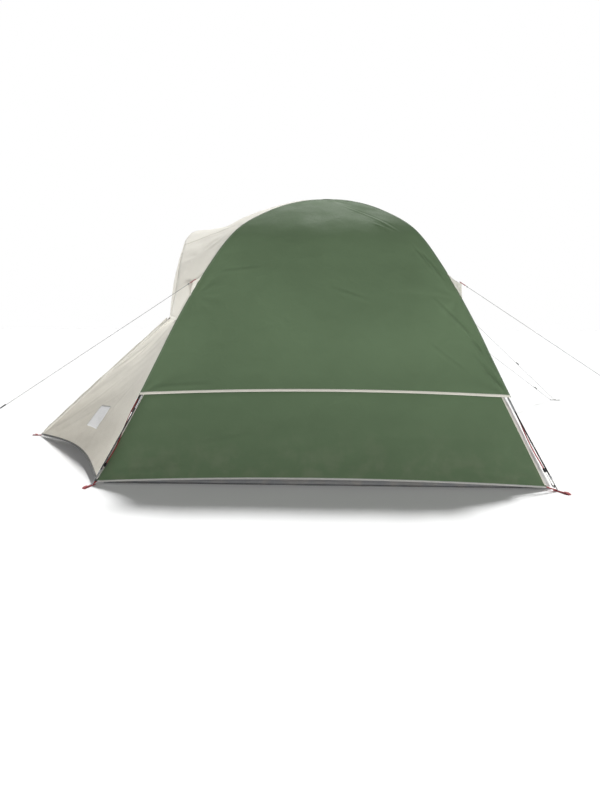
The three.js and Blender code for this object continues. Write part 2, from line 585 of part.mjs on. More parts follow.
// ---- Guy lines ----
const EYE_BEND = 12; // from the straight part's end to where the line lies flat
const GUY_STEPS = 20;
const GUY_STRAIGHT = 0.99; // share of the line before it bends to lie flat
GUYS.forEach(({ name, tab, ground, runner }) => {
  const flat = ground.clone().sub(tab).setZ(0).normalize();
  const points = [tab.clone()];
  for (let i = 1; i < GUY_STEPS; i += 1) {
    points.push(tab.clone().lerp(ground, (i / GUY_STEPS) * GUY_STRAIGHT));
  }
  points.push(ground.clone().addScaledVector(flat, EYE_BEND));
  points.push(ground.clone().addScaledVector(flat, GUY_EYE));
  const line = new THREE.CatmullRomCurve3(points, false, 'centripetal');
  addMesh(`guy_line_${name}`, tubeAlong(line, roundSection(GUY_R), 30, 8), LINE);

  const direction = ground.clone().sub(tab).normalize();
  const block = new THREE.Shape([
    new THREE.Vector2(-RUNNER.width / 2, -RUNNER.height / 2),
    new THREE.Vector2(RUNNER.width / 2, -RUNNER.height / 2),
    new THREE.Vector2(RUNNER.width / 2, RUNNER.height / 2),
    new THREE.Vector2(-RUNNER.width / 2, RUNNER.height / 2),
  ]);
  block.holes.push(new THREE.Path().absarc(0, 0, RUNNER.hole, 0, Math.PI * 2, true));
  const settings = { depth: RUNNER.length, bevelEnabled: false, curveSegments: 10 };
  const body = new THREE.ExtrudeGeometry(block, settings);
  body.translate(0, 0, -RUNNER.length / 2);
  const side = new THREE.Vector3(0, 0, 1).cross(direction).normalize();
  const top = direction.clone().cross(side);
  const at = tab.clone().lerp(ground, runner);
  body.applyMatrix4(new THREE.Matrix4().makeBasis(side, top, direction).setPosition(at));
  addMesh(`guy_runner_${name}`, body, BLACK_PLASTIC);
});

export default tent;
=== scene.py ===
import math

import bpy
import numpy as np
from mathutils import Matrix, Vector


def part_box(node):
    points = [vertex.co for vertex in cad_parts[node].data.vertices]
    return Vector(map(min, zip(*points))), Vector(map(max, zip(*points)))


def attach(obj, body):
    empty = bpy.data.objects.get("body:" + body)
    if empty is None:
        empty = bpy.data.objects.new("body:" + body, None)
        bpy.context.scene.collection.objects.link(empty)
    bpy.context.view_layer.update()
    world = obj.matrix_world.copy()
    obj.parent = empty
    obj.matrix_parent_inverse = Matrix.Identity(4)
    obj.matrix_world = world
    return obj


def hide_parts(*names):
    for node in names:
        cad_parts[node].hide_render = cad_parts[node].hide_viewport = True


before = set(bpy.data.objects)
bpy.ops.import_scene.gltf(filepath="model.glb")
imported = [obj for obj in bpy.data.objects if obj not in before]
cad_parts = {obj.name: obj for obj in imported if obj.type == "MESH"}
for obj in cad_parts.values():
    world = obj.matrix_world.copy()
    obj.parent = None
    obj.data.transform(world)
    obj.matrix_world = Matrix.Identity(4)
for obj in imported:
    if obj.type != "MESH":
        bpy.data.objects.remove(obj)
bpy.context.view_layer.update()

# Shapes are worked out about the dome's axis, then moved to where the frame holds it.
crown_low, crown_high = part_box("crown_patch")
DOME_X = (crown_low.x + crown_high.x) / 2

# ---------------------------------------------------------------- the design, in metres
FOOT = 1.5
POLE_R = 0.00475
FLY_CLEARANCE = 0.015
HEM_Z = 0.560
HEM_RISE = 0.030
HOOP = [(FOOT, 0), (1.275, 0.440), (1.127, 0.760), (0.990, 1.060), (0.810, 1.400), (0.630, 1.660),
        (0.420, 1.805), (0.210, 1.888), (0, 1.920)]
INNER_HOOP = [(1.432, 0.010), (0.868, 1.200), (0.700, 1.450), (0.500, 1.662), (0.300, 1.775),
              (0.150, 1.832), (0.024, 1.858)]
PORCH_PEG = np.array([-2.420, 0, 0.012])
RIDGE_TOP = np.array([-1.285, 0, 1.000])
BROW = [(-1.058, -1.020, 1.060), (-1.032, -0.930, 1.240), (-1.030, -0.780, 1.420), (-1.043, -0.550, 1.556),
        (-1.054, -0.380, 1.614), (-1.046, -0.190, 1.669), (-1.012, 0, 1.698)]
BROW_CORNER = np.array(BROW[0])
HOOD_SEAM_HALF = 0.605
FRONT_RIDGE = [(-0.790, 1.722), (-0.694, 1.775), (-0.460, 1.872), (-0.223, 1.922), (-0.020, 1.936)]
TAB_HALF, TAB_Z = 0.932, 1.296
REAR_TAB_HALF, REAR_TAB_Z = 0.960, 1.280
LOW_TAB_HALF, LOW_TAB_Z = 1.105, 0.930
GUY_DIAMETER = 0.003
GUY_END_Z = 0.004
GUY_EYE = 0.070
GUYS = {
    "porch_near": ((-TAB_HALF, -TAB_HALF, TAB_Z), (-2.830, -1.650, GUY_END_Z), 0.62),
    "rear_near": ((REAR_TAB_HALF, -REAR_TAB_HALF, REAR_TAB_Z), (2.830, -1.650, GUY_END_Z), 0.62),
    "rear_far": ((REAR_TAB_HALF, REAR_TAB_HALF, REAR_TAB_Z), (2.440, 2.000, GUY_END_Z), 0.66),
    "rear_far_low": ((LOW_TAB_HALF, LOW_TAB_HALF, LOW_TAB_Z), (2.400, 2.020, GUY_END_Z), 0.84),
}
CORNERS = {"porch_near": (-1, -1), "rear_far": (1, 1), "porch_far": (-1, 1), "rear_near": (1, -1)}
UP = np.array([0.0, 0.0, 1.0])


# ---------------------------------------------------------------- curves and small maths
def unit(v):
    v = np.asarray(v, float)
    return v / np.maximum(np.linalg.norm(v, axis=-1, keepdims=True), 1e-12)


def lerp(a, b, t):
    return a + (b - a) * t


def spline(points, t, carried=False):
    """A uniform Catmull-Rom curve through the points, at one or more places from 0 to 1.
    Its end points are doubled, or the line is carried on in a straight line past them."""
    points = np.asarray(points, float)
    last = len(points) - 1
    ends = (2 * points[0] - points[1], 2 * points[-1] - points[-2]) if carried else (points[0], points[-1])
    points = np.vstack([ends[0], points, ends[1]])
    place = np.clip(np.asarray(t, float), 0, 1) * last
    i = np.minimum(place.astype(int), last - 1)
    w = (place - i)[..., None]
    a, b, c, d = (points[i + k] for k in range(4))
    return 0.5 * (2 * b + (c - a) * w + (2 * a - 5 * b + 4 * c - d) * w**2 + (3 * b - a - 3 * c + d) * w**3)


def carried_spline(points, t):
    return spline(points, t, carried=True)


def lengths_to(points):
    """The length of a line from its start to each of its points."""
    return np.r_[0, np.cumsum(np.linalg.norm(np.diff(points, axis=0), axis=1))]


def along(points, count, low=0.0, high=None):
    """The same line with evenly spaced points, or its part between two lengths from its start."""
    points = np.asarray(points, float)
    steps = lengths_to(points)
    wanted = np.linspace(low, steps[-1] if high is None else high, count)
    return np.stack([np.interp(wanted, steps, points[:, k]) for k in range(3)], axis=1)


FULL_HOOP = [(-half, z) for half, z in HOOP] + [(half, z) for half, z in HOOP[-2::-1]]


def fly_section(up):
    """Half-width and height of the flysheet, from the foot (0) to the crown (1)."""
    t = np.clip(up, 0, 1) / 2
    point = spline(FULL_HOOP, t)
    tangent = unit(spline(FULL_HOOP, t + 1e-4) - spline(FULL_HOOP, t - 1e-4))
    return -point[..., 0] + tangent[..., 1] * FLY_CLEARANCE, point[..., 1] + tangent[..., 0] * FLY_CLEARANCE


LEVELS = np.linspace(0, 1, 2001)
LEVEL_HALF, LEVEL_Z = fly_section(LEVELS)
HEM_UP = float(np.interp(HEM_Z, LEVEL_Z, LEVELS))
HOOD_UP = float(np.interp(-HOOD_SEAM_HALF, -LEVEL_HALF, LEVELS))
BROW_UP = float(np.interp(BROW_CORNER[2], LEVEL_Z, LEVELS))


def turned(points, angle):
    c, s = math.cos(angle), math.sin(angle)
    x, y, z = points[..., 0], points[..., 1], points[..., 2]
    return np.stack([c * x - s * y, s * x + c * y, z], axis=-1)


def mirrored(points):
    return np.asarray(points, float) * np.array([1, -1, 1])


def ripple(a, b, size, seed, waves=8):
    """Smooth random waves of about unit height, whose crests are about size apart."""
    rng = np.random.default_rng(seed)
    total = np.zeros(np.broadcast(a, b).shape)
    for _ in range(waves):
        angle = rng.uniform(0, math.pi)
        reach = 2 * math.pi / (size * rng.uniform(0.7, 1.5))
        total = total + np.cos((a * math.cos(angle) + b * math.sin(angle)) * reach + rng.uniform(0, 6.283))
    return total / math.sqrt(waves / 2)


def fan(a, b, centre, reach, folds, seed):
    """Folds that spread from a point where the cloth is pulled, fading over reach."""
    rng = np.random.default_rng(seed)
    da, db = a - centre[0], b - centre[1]
    r = np.hypot(da, db)
    theta = np.arctan2(db, da)
    total = sum(np.cos(theta * folds * rng.uniform(0.6, 1.4) + rng.uniform(0, 6.283)) for _ in range(3))
    return total / 1.7 * np.exp(-((r / reach) ** 2)) * (1 - np.exp(-((r / 0.06) ** 2)))


def pucker(distance, run, pitch, depth, seed):
    """Short ripples across a seam, as its thread draws the cloth in."""
    sway = ripple(run, run * 0, pitch * 9, seed)
    strength = 0.55 + 0.45 * ripple(run, run * 0, pitch * 14, seed + 1)
    return np.exp(-distance / depth) * np.sin(2 * math.pi * run / pitch + 1.7 * sway) * strength


# ---------------------------------------------------------------- camera
PICTURE_HEIGHT = 800
SENSOR = 36
YAW, PITCH = 2.79, 9.56  # degrees to the left, and degrees down
FOCAL = 766.9  # in pixels of a picture of that height
camera = bpy.data.objects.new("camera", bpy.data.cameras.new("camera"))
camera.location = (DOME_X + 0.093, -6.268, 1.38)
camera.rotation_euler = (math.radians(90 - PITCH), 0, math.radians(YAW))
camera.data.sensor_width = SENSOR
camera.data.lens = FOCAL / PICTURE_HEIGHT * SENSOR
bpy.context.scene.collection.objects.link(camera)
bpy.context.scene.camera = camera
bpy.context.scene.view_settings.view_transform = "Standard"


# ---------------------------------------------------------------- materials
class Shader:
    """A principled material, with short calls for the nodes that feed it."""

    def __init__(self, name, **sockets):
        self.material = bpy.data.materials.new(name)
        self.material.use_nodes = True
        self.tree = self.material.node_tree
        self.bsdf = self.tree.nodes["Principled BSDF"]
        for socket, value in sockets.items():
            self.bsdf.inputs[socket.replace("_", " ")].default_value = value

    def node(self, kind, **settings):
        made = self.tree.nodes.new(kind)
        for key, value in settings.items():
            setattr(made, key, value)
        return made

    def link(self, source, target):
        self.tree.links.new(source, target)

    def feed(self, socket, value):
        if isinstance(value, (int, float, tuple)):
            socket.default_value = value
        else:
            self.link(value, socket)

    def maths(self, operation, a, b=0.0, c=0.0):
        made = self.node("ShaderNodeMath", operation=operation)
        for socket, value in zip(made.inputs, (a, b, c)):
            self.feed(socket, value)
        return made.outputs[0]

    def times(self, a, b):
        return self.maths("MULTIPLY", a, b)

    def uv(self):
        out = self.node("ShaderNodeSeparateXYZ")
        self.link(self.node("ShaderNodeTexCoord").outputs["UV"], out.inputs[0])
        return out.outputs[0], out.outputs[1]

    def place(self):
        return self.node("ShaderNodeTexCoord").outputs["Object"]

    def value_of(self, name):
        return self.node("ShaderNodeAttribute", attribute_name=name).outputs["Fac"]

    def noise(self, scale, detail=3.0, vector=None, stretch=None, distortion=0.0):
        made = self.node("ShaderNodeTexNoise")
        made.inputs["Scale"].default_value = scale
        made.inputs["Detail"].default_value = detail
        made.inputs["Distortion"].default_value = distortion
        source = vector or self.place()
        if stretch:
            mapping = self.node("ShaderNodeMapping")
            mapping.inputs["Scale"].default_value = stretch
            self.link(source, mapping.inputs[0])
            source = mapping.outputs[0]
        self.link(source, made.inputs["Vector"])
        return made.outputs["Fac"]

    def crackle(self, scale):
        made = self.node("ShaderNodeTexVoronoi", feature="SMOOTH_F1")
        made.inputs["Scale"].default_value = scale
        made.inputs["Smoothness"].default_value = 0.35
        self.link(self.place(), made.inputs["Vector"])
        return made.outputs["Distance"]

    def ramp(self, source, low, high):
        made = self.node("ShaderNodeMapRange", interpolation_type="SMOOTHSTEP")
        self.link(source, made.inputs["Value"])
        made.inputs["From Min"].default_value = low
        made.inputs["From Max"].default_value = high
        return made.outputs["Result"]

    def mix(self, factor, a, b):
        made = self.node("ShaderNodeMix", data_type="RGBA")
        self.feed(made.inputs["Factor"], factor)
        self.feed(made.inputs[6], a)
        self.feed(made.inputs[7], b)
        return made.outputs[2]

    def bump(self, height, distance, strength=1.0, after=None):
        made = self.node("ShaderNodeBump")
        made.inputs["Strength"].default_value = strength
        made.inputs["Distance"].default_value = distance
        self.link(height, made.inputs["Height"])
        if after is not None:
            self.link(after, made.inputs["Normal"])
        return made.outputs["Normal"]

    def finish(self, color=None, normal=None, roughness=None):
        for name, value in (("Base Color", color), ("Normal", normal), ("Roughness", roughness)):
            if value is not None:
                self.link(value, self.bsdf.inputs[name])
        return self.material


def shade(color, factor=1.0):
    return tuple(min(c * factor, 1.0) for c in color) + (1.0,)


def woven(name, color, pitch=0.0008, grid=0.0065, crumple=1.0, rough=0.52, sheen=0.12, grime=0.12,
          gloss=0.42, foot=(0.85, 0.85, 0.85)):
    """Coated plain-weave cloth with a ripstop grid, faint fold creases and stitch lines along its borders.
    Its UV map is in metres, and its border attribute is the distance to the nearest sewn edge.
    foot is how much of its colour is left at the ground: painted shade, darker towards the floor where less
    light reaches."""
    s = Shader(name, Roughness=rough, Sheen_Weight=sheen, Sheen_Roughness=0.45, Specular_IOR_Level=gloss)
    x, y = s.uv()
    warp = s.maths("SINE", s.times(x, 2 * math.pi / pitch))
    weft = s.maths("SINE", s.times(y, 2 * math.pi / pitch))
    weave = s.times(warp, weft)
    lines = s.maths("MAXIMUM",
                    s.ramp(s.maths("PINGPONG", x, grid / 2), grid * 0.42, grid * 0.5),
                    s.ramp(s.maths("PINGPONG", y, grid / 2), grid * 0.42, grid * 0.5))
    cloud = s.noise(1.3, 4.0)
    fibre = s.noise(420.0, 2.0, stretch=(1, 1, 0.25))
    creased = s.crackle(7.0)
    soft = s.noise(11.0, 5.0, distortion=0.8)
    border = s.value_of("border")
    dashes = s.ramp(s.maths("PINGPONG", s.maths("ADD", x, y), 0.0021), 0.0006, 0.0010)
    row = s.times(s.ramp(border, 0.0035, 0.0048), s.ramp(border, 0.0070, 0.0056))
    second = s.times(s.ramp(border, 0.0105, 0.0118), s.ramp(border, 0.0140, 0.0126))
    thread = s.times(s.maths("ADD", row, second), dashes)
    seam_shadow = s.ramp(border, 0.030, 0.0)
    low = s.node("ShaderNodeSeparateXYZ")
    s.link(s.place(), low.inputs[0])
    dust = s.times(s.ramp(low.outputs[2], 0.45, 0.0), s.ramp(s.noise(9.0, 6.0), 0.40, 0.75))
    tint = s.mix(s.ramp(cloud, 0.30, 0.72), shade(color, 0.93), shade(color, 1.06))
    # Painted shade: the colour darkens towards the ground, where the light is dimmer.
    ground_shade_tone = tuple(c * k for c, k in zip(color, foot)) + (1.0,)
    tint = s.mix(s.ramp(low.outputs[2], 1.05, 0.05), tint, ground_shade_tone)
    tint = s.mix(s.times(lines, 0.16), tint, shade(color, 1.30))
    tint = s.mix(s.times(seam_shadow, 0.06), tint, shade(color, 0.66))
    tint = s.mix(s.times(thread, 0.55), tint, shade(color, 1.5))
    tint = s.mix(s.times(dust, grime), tint, (0.34, 0.30, 0.24, 1.0))
    normal = s.bump(s.maths("ADD", weave, s.times(lines, 1.6)), 0.00007, 0.8)
    normal = s.bump(fibre, 0.00010, 0.5, normal)
    normal = s.bump(creased, 0.010 * crumple, 0.30, normal)
    normal = s.bump(soft, 0.006 * crumple, 0.45, normal)
    normal = s.bump(thread, 0.0006, 0.8, normal)
    roughness = s.ramp(s.noise(5.0, 3.0), 0.25, 0.80)
    return s.finish(tint, normal, s.maths("MULTIPLY_ADD", roughness, 0.14, rough - 0.07))


def webbing(name, color, rib=0.0022, shine=0.55, depth=1.0):
    """Woven tape. Its UV map has metres along the tape and 0 to 1 across it. depth scales the ribs' relief,
    the painted shade in their hollows and the paler worn patches.
    """
    s = Shader(name, Roughness=shine, Sheen_Weight=0.25, Sheen_Roughness=0.4)
    x, y = s.uv()
    slanted = s.maths("MULTIPLY_ADD", s.maths("PINGPONG", y, 0.25), 0.014, x)
    ribs = s.maths("SINE", s.times(slanted, 2 * math.pi / rib))
    edge = s.ramp(s.maths("PINGPONG", y, 0.5), 0.10, 0.0)
    worn = s.ramp(s.noise(60.0, 4.0), 0.42, 0.70)
    # The ribs' colour is painted shade: darker in the hollows between ribs, lighter on their crests.
    tint = s.mix(s.maths("MULTIPLY_ADD", ribs, 0.5, 0.5), shade(color, 1 - 0.38 * depth),
                 shade(color, 1 + 0.18 * depth))
    # Painted shade along both edges of the tape.
    tint = s.mix(s.times(edge, 0.15), tint, shade(color, 0.55))
    tint = s.mix(s.times(worn, 0.18), tint, shade(color, 1 + 0.7 * depth))
    return s.finish(tint, s.bump(s.noise(900.0, 2.0), 0.0001, 0.4, s.bump(ribs, 0.00035 * depth, 0.9)))


def braid(name, color, fleck):
    """Braided cord with a reflective tracer. Its UV map has metres along it and 0 to 1 round it."""
    s = Shader(name, Roughness=0.6, Sheen_Weight=0.2)
    x, y = s.uv()
    turns = s.times(x, 2 * math.pi / 0.0042)
    round_it = s.times(y, 2 * math.pi * 3)
    left = s.maths("SINE", s.maths("ADD", turns, round_it))
    right = s.maths("SINE", s.maths("SUBTRACT", turns, round_it))
    strands = s.maths("MAXIMUM", left, right)
    tracer = s.times(s.ramp(left, 0.35, 0.75), s.ramp(s.maths("PINGPONG", y, 0.5), 0.26, 0.18))
    # Painted shade: the cord is darker in the hollows between its strands.
    tint = s.mix(s.maths("MULTIPLY_ADD", strands, 0.5, 0.5), shade(color, 0.55), shade(color))
    tint = s.mix(tracer, tint, shade(fleck))
    return s.finish(tint, s.bump(strands, 0.0004, 0.9))


def drawn_metal(name, color, rough=0.28):
    s = Shader(name, Metallic=1.0, Roughness=rough, Anisotropic=0.5)
    x, y = s.uv()
    joined = s.node("ShaderNodeCombineXYZ")
    s.link(x, joined.inputs[0])
    s.link(y, joined.inputs[1])
    streaks = s.noise(60.0, 5.0, vector=joined.outputs[0], stretch=(0.3, 30, 1))
    stains = s.ramp(s.noise(70.0, 5.0), 0.52, 0.72)
    tint = s.mix(streaks, shade(color, 0.82), shade(color, 1.12))
    tint = s.mix(s.times(stains, 0.35), tint, shade(color, 0.45))
    roughness = s.maths("MULTIPLY_ADD", stains, 0.2, rough)
    return s.finish(tint, s.bump(streaks, 0.0001, 0.5), s.maths("MULTIPLY_ADD", streaks, 0.12, roughness))


def smooth_shell(name, color, rough, grain=0.5, scuff=0.25):
    """Moulded plastic, or pultruded glass fibre with its fine lengthwise lines."""
    s = Shader(name, Roughness=rough, Specular_IOR_Level=0.5)
    skin = s.noise(700.0, 3.0)
    lines = s.noise(220.0, 3.0, stretch=(1, 1, 0.05))
    scuffs = s.ramp(s.noise(38.0, 6.0), 0.58, 0.72)
    tint = s.mix(s.times(scuffs, scuff), shade(color), (0.10, 0.10, 0.10, 1.0))
    tint = s.mix(s.times(lines, 0.3), tint, shade(color, 1.9))
    normal = s.bump(lines, 0.00015, 0.35, s.bump(skin, 0.00012, grain))
    return s.finish(tint, normal, s.maths("MULTIPLY_ADD", scuffs, 0.2, rough))


# Each cloth's foot sets its painted shade towards the ground.
GREEN = woven("green_cloth", (0.122, 0.180, 0.102), sheen=0.02, rough=0.70, gloss=0.05)
BEIGE = woven("beige_cloth", (0.860, 0.834, 0.750), sheen=0.06, rough=0.64, grime=0.16, gloss=0.15,
              foot=(0.72, 0.70, 0.67))
INNER = woven("inner_cloth", (0.720, 0.720, 0.700), pitch=0.0006, grid=0.009, rough=0.75, sheen=0.3)
# Its dark grey is partly painted shade: the bathtub walls made of it stand in for the shadow under the lower
# walls' hems.
FLOOR_AND_SHADE_CLOTH = woven("floor_and_shade_cloth", (0.200, 0.206, 0.212), pitch=0.0030, grid=0.05, rough=0.5, grime=0.35)
LABEL_CLOTH = woven("label_cloth", (0.900, 0.900, 0.900), pitch=0.0005, grid=0.05, rough=0.5,
                    foot=(0.85, 0.85, 0.85))
CREAM_TAPE, GREY_TAPE, DARK_TAPE, BEIGE_TAPE, GREEN_TAPE = (
    webbing(name, color, rib=0.0016, shine=0.7, depth=depth) for name, color, depth in (
        ("cream_tape", (0.660, 0.640, 0.565), 0.25), ("grey_tape", (0.470, 0.470, 0.445), 0.4),
        ("dark_tape", (0.110, 0.112, 0.108), 1.0), ("beige_tape", (0.820, 0.792, 0.706), 0.3),
        ("green_tape", (0.122, 0.180, 0.102), 0.3)))
RED = webbing("red_webbing", (0.400, 0.012, 0.022))
CORD = braid("guy_cord", (0.240, 0.242, 0.235), (0.62, 0.63, 0.62))
STEEL = drawn_metal("drawn_steel", (0.40, 0.41, 0.42), rough=0.42)
FIBREGLASS = smooth_shell("fibreglass", (0.014, 0.014, 0.015), 0.26, grain=0.2)
PLASTIC = smooth_shell("black_plastic", (0.018, 0.018, 0.019), 0.42)


def add_piece(name, mesh, material, body, node, smooth):
    """A piece on its body, in place of a node if one is given."""
    mesh.materials.clear()
    mesh.materials.append(material)
    mesh.polygons.foreach_set("use_smooth", [smooth] * len(mesh.polygons))
    made = bpy.data.objects.new(name, mesh)
    bpy.context.scene.collection.objects.link(made)
    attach(made, body)
    if node:
        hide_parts(node)
    return made


def grid_piece(name, points, tail, uvs, material, body, node):
    """A mesh from a grid of points about the dome's axis, with a UV pair for each. tail holds more faces."""
    rows, columns = points.shape[:2]
    index = np.arange(rows * columns).reshape(rows, columns)
    faces = np.stack([index[:-1, :-1], index[:-1, 1:], index[1:, 1:], index[1:, :-1]], axis=-1)
    mesh = bpy.data.meshes.new(name)
    moved = points.reshape(-1, 3) + np.array([DOME_X, 0, 0])
    mesh.from_pydata(moved.tolist(), [], faces.reshape(-1, 4).tolist() + tail(index))
    corner = np.zeros(len(mesh.loops), np.int32)
    mesh.loops.foreach_get("vertex_index", corner)
    flat_uvs = np.asarray(uvs, np.float32).reshape(-1, 2)
    mesh.uv_layers.new(name="UVMap").data.foreach_set("uv", flat_uvs[corner].ravel())
    mesh.update()
    return add_piece(name, mesh, material, body, node, smooth=True)


def grid_steps(points):
    """Distances along and up a grid of points, from its middle column and its bottom row."""
    across = np.linalg.norm(np.diff(points, axis=1), axis=2)
    a = np.concatenate([np.zeros((points.shape[0], 1)), np.cumsum(across, axis=1)], axis=1)
    a = a - a[:, [points.shape[1] // 2]]
    upward = np.linalg.norm(np.diff(points, axis=0), axis=2)
    b = np.concatenate([np.zeros((1, points.shape[1])), np.cumsum(upward, axis=0)], axis=0)
    return a, b


def grid_normals(points):
    rows = np.gradient(points, axis=0)
    columns = np.gradient(points, axis=1)
    normal = np.cross(columns, rows)
    thin = np.linalg.norm(normal, axis=2) < 1e-12
    normal[thin] = np.array([0, 0, 1.0])
    return unit(normal)


def grid_area(points):
    a, b = points[1:, 1:] - points[:-1, :-1], points[1:, :-1] - points[:-1, 1:]
    return float(np.linalg.norm(np.cross(a, b), axis=2).sum() / 2)


def edge_distances(a, b):
    """How far each grid point is from the grid's left, right, bottom and top edges."""
    return a - a[:, [0]], a[:, [-1]] - a, b, b[[-1]] - b


CLOTH = 0.0012
PANELS = []


class Panel:
    """A panel of cloth from a grid of points whose rows run along it, left to right seen from outside.
    relief gives the height of its folds from the distances along and up it and from its four edges."""

    def __init__(self, name, points, relief, material, node=None, body="tent", held="stretched",
                 hangs_on=(), sewn="lrbt"):
        a, b = grid_steps(points)
        edges = dict(zip("lrbt", edge_distances(a, b)))
        self.area = grid_area(points)
        self.flat = (float(np.median(a[:, -1] - a[:, 0])), float(np.median(b[-1])))
        self.body, self.held, self.hangs_on, self.trim = body, held, list(hangs_on), []
        points = points + grid_normals(points) * relief(a, b, edges)[..., None]
        border = np.min([edges[k] for k in sewn], axis=0) if sewn else np.full(a.shape, 0.2)
        self.made = grid_piece(name, points, lambda index: [], np.stack([a, b], axis=-1),
                               material, body, node)
        stored = self.made.data.attributes.new("border", "FLOAT", "POINT")
        stored.data.foreach_set("value", border.ravel().astype(np.float32))
        shell = self.made.modifiers.new("thickness", "SOLIDIFY")
        shell.thickness = CLOTH
        shell.offset = 0
        self.points = points
        PANELS.append(self)

    def declare(self):
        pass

    def edge(self, which, depth=0.0):
        """A line along one edge, set in by a depth, and the direction from the edge into the panel."""
        outer, inner = {"b": (self.points[0], self.points[1]), "t": (self.points[-1], self.points[-2]),
                        "l": (self.points[:, 0], self.points[:, 1]),
                        "r": (self.points[:, -1], self.points[:, -2])}[which]
        inward = unit(inner - outer)
        return outer + inward * depth, inward


def frames_along(path):
    """Tangents and two steady side directions at each point of a line."""
    path = np.asarray(path, float)
    tangents = unit(np.gradient(path, axis=0))
    start = UP if abs(tangents[0][2]) < 0.9 else np.array([1.0, 0, 0])
    side = unit(np.cross(tangents[0], start))
    sides = [side]
    for tangent in tangents[1:]:
        side = unit(side - tangent * np.dot(side, tangent))
        sides.append(side)
    sides = np.array(sides)
    return tangents, sides, np.cross(tangents, sides)


def sweep(name, path, section, material, body="tent", side=None, scale=None, node=None):
    """A closed solid: a section, in metres across and up, carried along a line. side is the way across."""
    path = np.asarray(path, float)
    section = np.asarray(section, float)
    tangents, across, upward = frames_along(path)
    if side is not None:
        across = np.broadcast_to(np.asarray(side, float), path.shape)
        across = unit(across - tangents * np.sum(across * tangents, axis=1, keepdims=True))
        upward = np.cross(tangents, across)
    scale = np.ones(len(path)) if scale is None else np.asarray(scale, float)
    rings = (path[:, None] + across[:, None] * section[None, :, :1] * scale[:, None, None]
             + upward[:, None] * section[None, :, 1:] * scale[:, None, None])
    m = len(section)
    rings = np.concatenate([rings, rings[:, :1]], axis=1)  # a second first column closes the UV map
    travel = lengths_to(path)
    uvs = np.stack(np.broadcast_arrays(travel[:, None], np.linspace(0, 1, m + 1)[None]), axis=-1)
    made = grid_piece(name, rings, lambda index: [index[0, :m][::-1].tolist(), index[-1, :m].tolist()],
                      uvs, material, body, node)
    made.modifiers.new("close", "WELD").merge_threshold = 1e-6
    return made


def circle(radius, sides=20):
    angles = np.arange(sides) * 2 * math.pi / sides
    return np.stack([np.cos(angles), np.sin(angles)], axis=1) * radius


def band(width, thickness):
    """A flat section with rounded edges."""
    w, t = width / 2, thickness / 2
    return [(-w, -t * 0.2), (-w + t, -t), (0, -t), (w - t, -t), (w, -t * 0.2),
            (w, t * 0.2), (w - t, t), (0, t), (-w + t, t), (-w, t * 0.2)]


def rod(name, path, radius, material, body="tent", sides=20, scale=None, node=None):
    return sweep(name, path, circle(radius, sides), material, body, scale=scale, node=node)


# ---------------------------------------------------------------- guy lines
def guy_route(tab, ground):
    """The line's points: straight from its tab to the ground, a bend, and a tied eye that lies on it."""
    flat = unit((ground - tab) * np.array([1, 1, 0]))
    bend, foot = ground - unit(ground - tab) * 0.040, ground + flat * 0.016
    taut = lerp(tab, bend, np.linspace(0, 1, 240)[:, None])
    t = np.linspace(0, 1, 24)[1:, None]
    corner = lerp(lerp(bend, ground, t), lerp(ground, foot, t), t)
    turn = np.linspace(0, math.pi, 70)[1:, None]
    eye = foot + flat * np.sin(turn) * GUY_EYE * 0.92 + np.cross(UP, flat) * np.sin(2 * turn) * 0.013
    eye = eye - UP * np.sin(turn) * 0.0016
    return np.vstack([taut, corner, eye])


def guy_line(name, tab, ground, runner_at):
    tab, ground = np.array(tab), np.array(ground)
    path = along(guy_route(tab, ground), 420)
    for _ in range(3):
        path[1:-1] = (path[:-2] + 2 * path[1:-1] + path[2:]) / 4
    line = rod(f"line_{name}", path, GUY_DIAMETER / 2, CORD, sides=10, node=f"guy_line_{name}")
    aim = unit(ground - tab)
    side = unit(np.cross(UP, aim))
    top = np.cross(aim, side)
    runner = runner_block(f"runner_{name}", lerp(tab, ground, runner_at), aim, side, top)
    knots = [knot(f"knot_{name}_top", tab + aim * 0.012, aim, side, top),
             knot(f"knot_{name}_ground", ground - aim * 0.006 + UP * 0.003, aim, side, top)]


def knot(name, centre, aim, side, top):
    """Three tight turns of the cord round itself."""
    turns = np.linspace(0, 1, 70)
    angle = turns * 2 * math.pi * 3
    radius = 0.0030
    path = (centre + np.outer((turns - 0.5) * 0.011, aim) + np.outer(np.cos(angle) * radius, side)
            + np.outer(np.sin(angle) * radius, top))
    return rod(name, path, 0.0014, CORD, sides=8)


def plate(name, outline, holes, depth, bevel, matrix, material, body="tent", node=None):
    """A bevelled plate from an outline and round holes (x, y, radius), in its own plane."""
    curve = bpy.data.curves.new(name, "CURVE")
    curve.dimensions = "2D"
    curve.fill_mode = "BOTH"
    curve.extrude = depth / 2 - bevel
    curve.bevel_depth = bevel
    curve.bevel_resolution = 2
    rings = [outline] + [circle(r, 20) + np.array([x, y]) for x, y, r in holes]
    for ring in rings:
        line = curve.splines.new("POLY")
        line.points.add(len(ring) - 1)
        for point, (x, y) in zip(line.points, ring):
            point.co = (x, y, 0, 1)
        line.use_cyclic_u = True
    flat = bpy.data.objects.new(name + "_flat", curve)
    bpy.context.scene.collection.objects.link(flat)
    bpy.context.view_layer.update()
    mesh = bpy.data.meshes.new_from_object(flat.evaluated_get(bpy.context.evaluated_depsgraph_get()))
    bpy.data.objects.remove(flat)
    mesh.name = name
    mesh.transform(Matrix.Translation((DOME_X, 0, 0)) @ matrix)
    made = add_piece(name, mesh, material, body, node, smooth=False)
    made.modifiers.new("close", "WELD").merge_threshold = 1e-5
    return made


def basis(x, y, z, origin):
    return Matrix([[*row, o] for row, o in zip(np.stack([x, y, z], axis=1).tolist(), origin)]
                  + [[0, 0, 0, 1]])


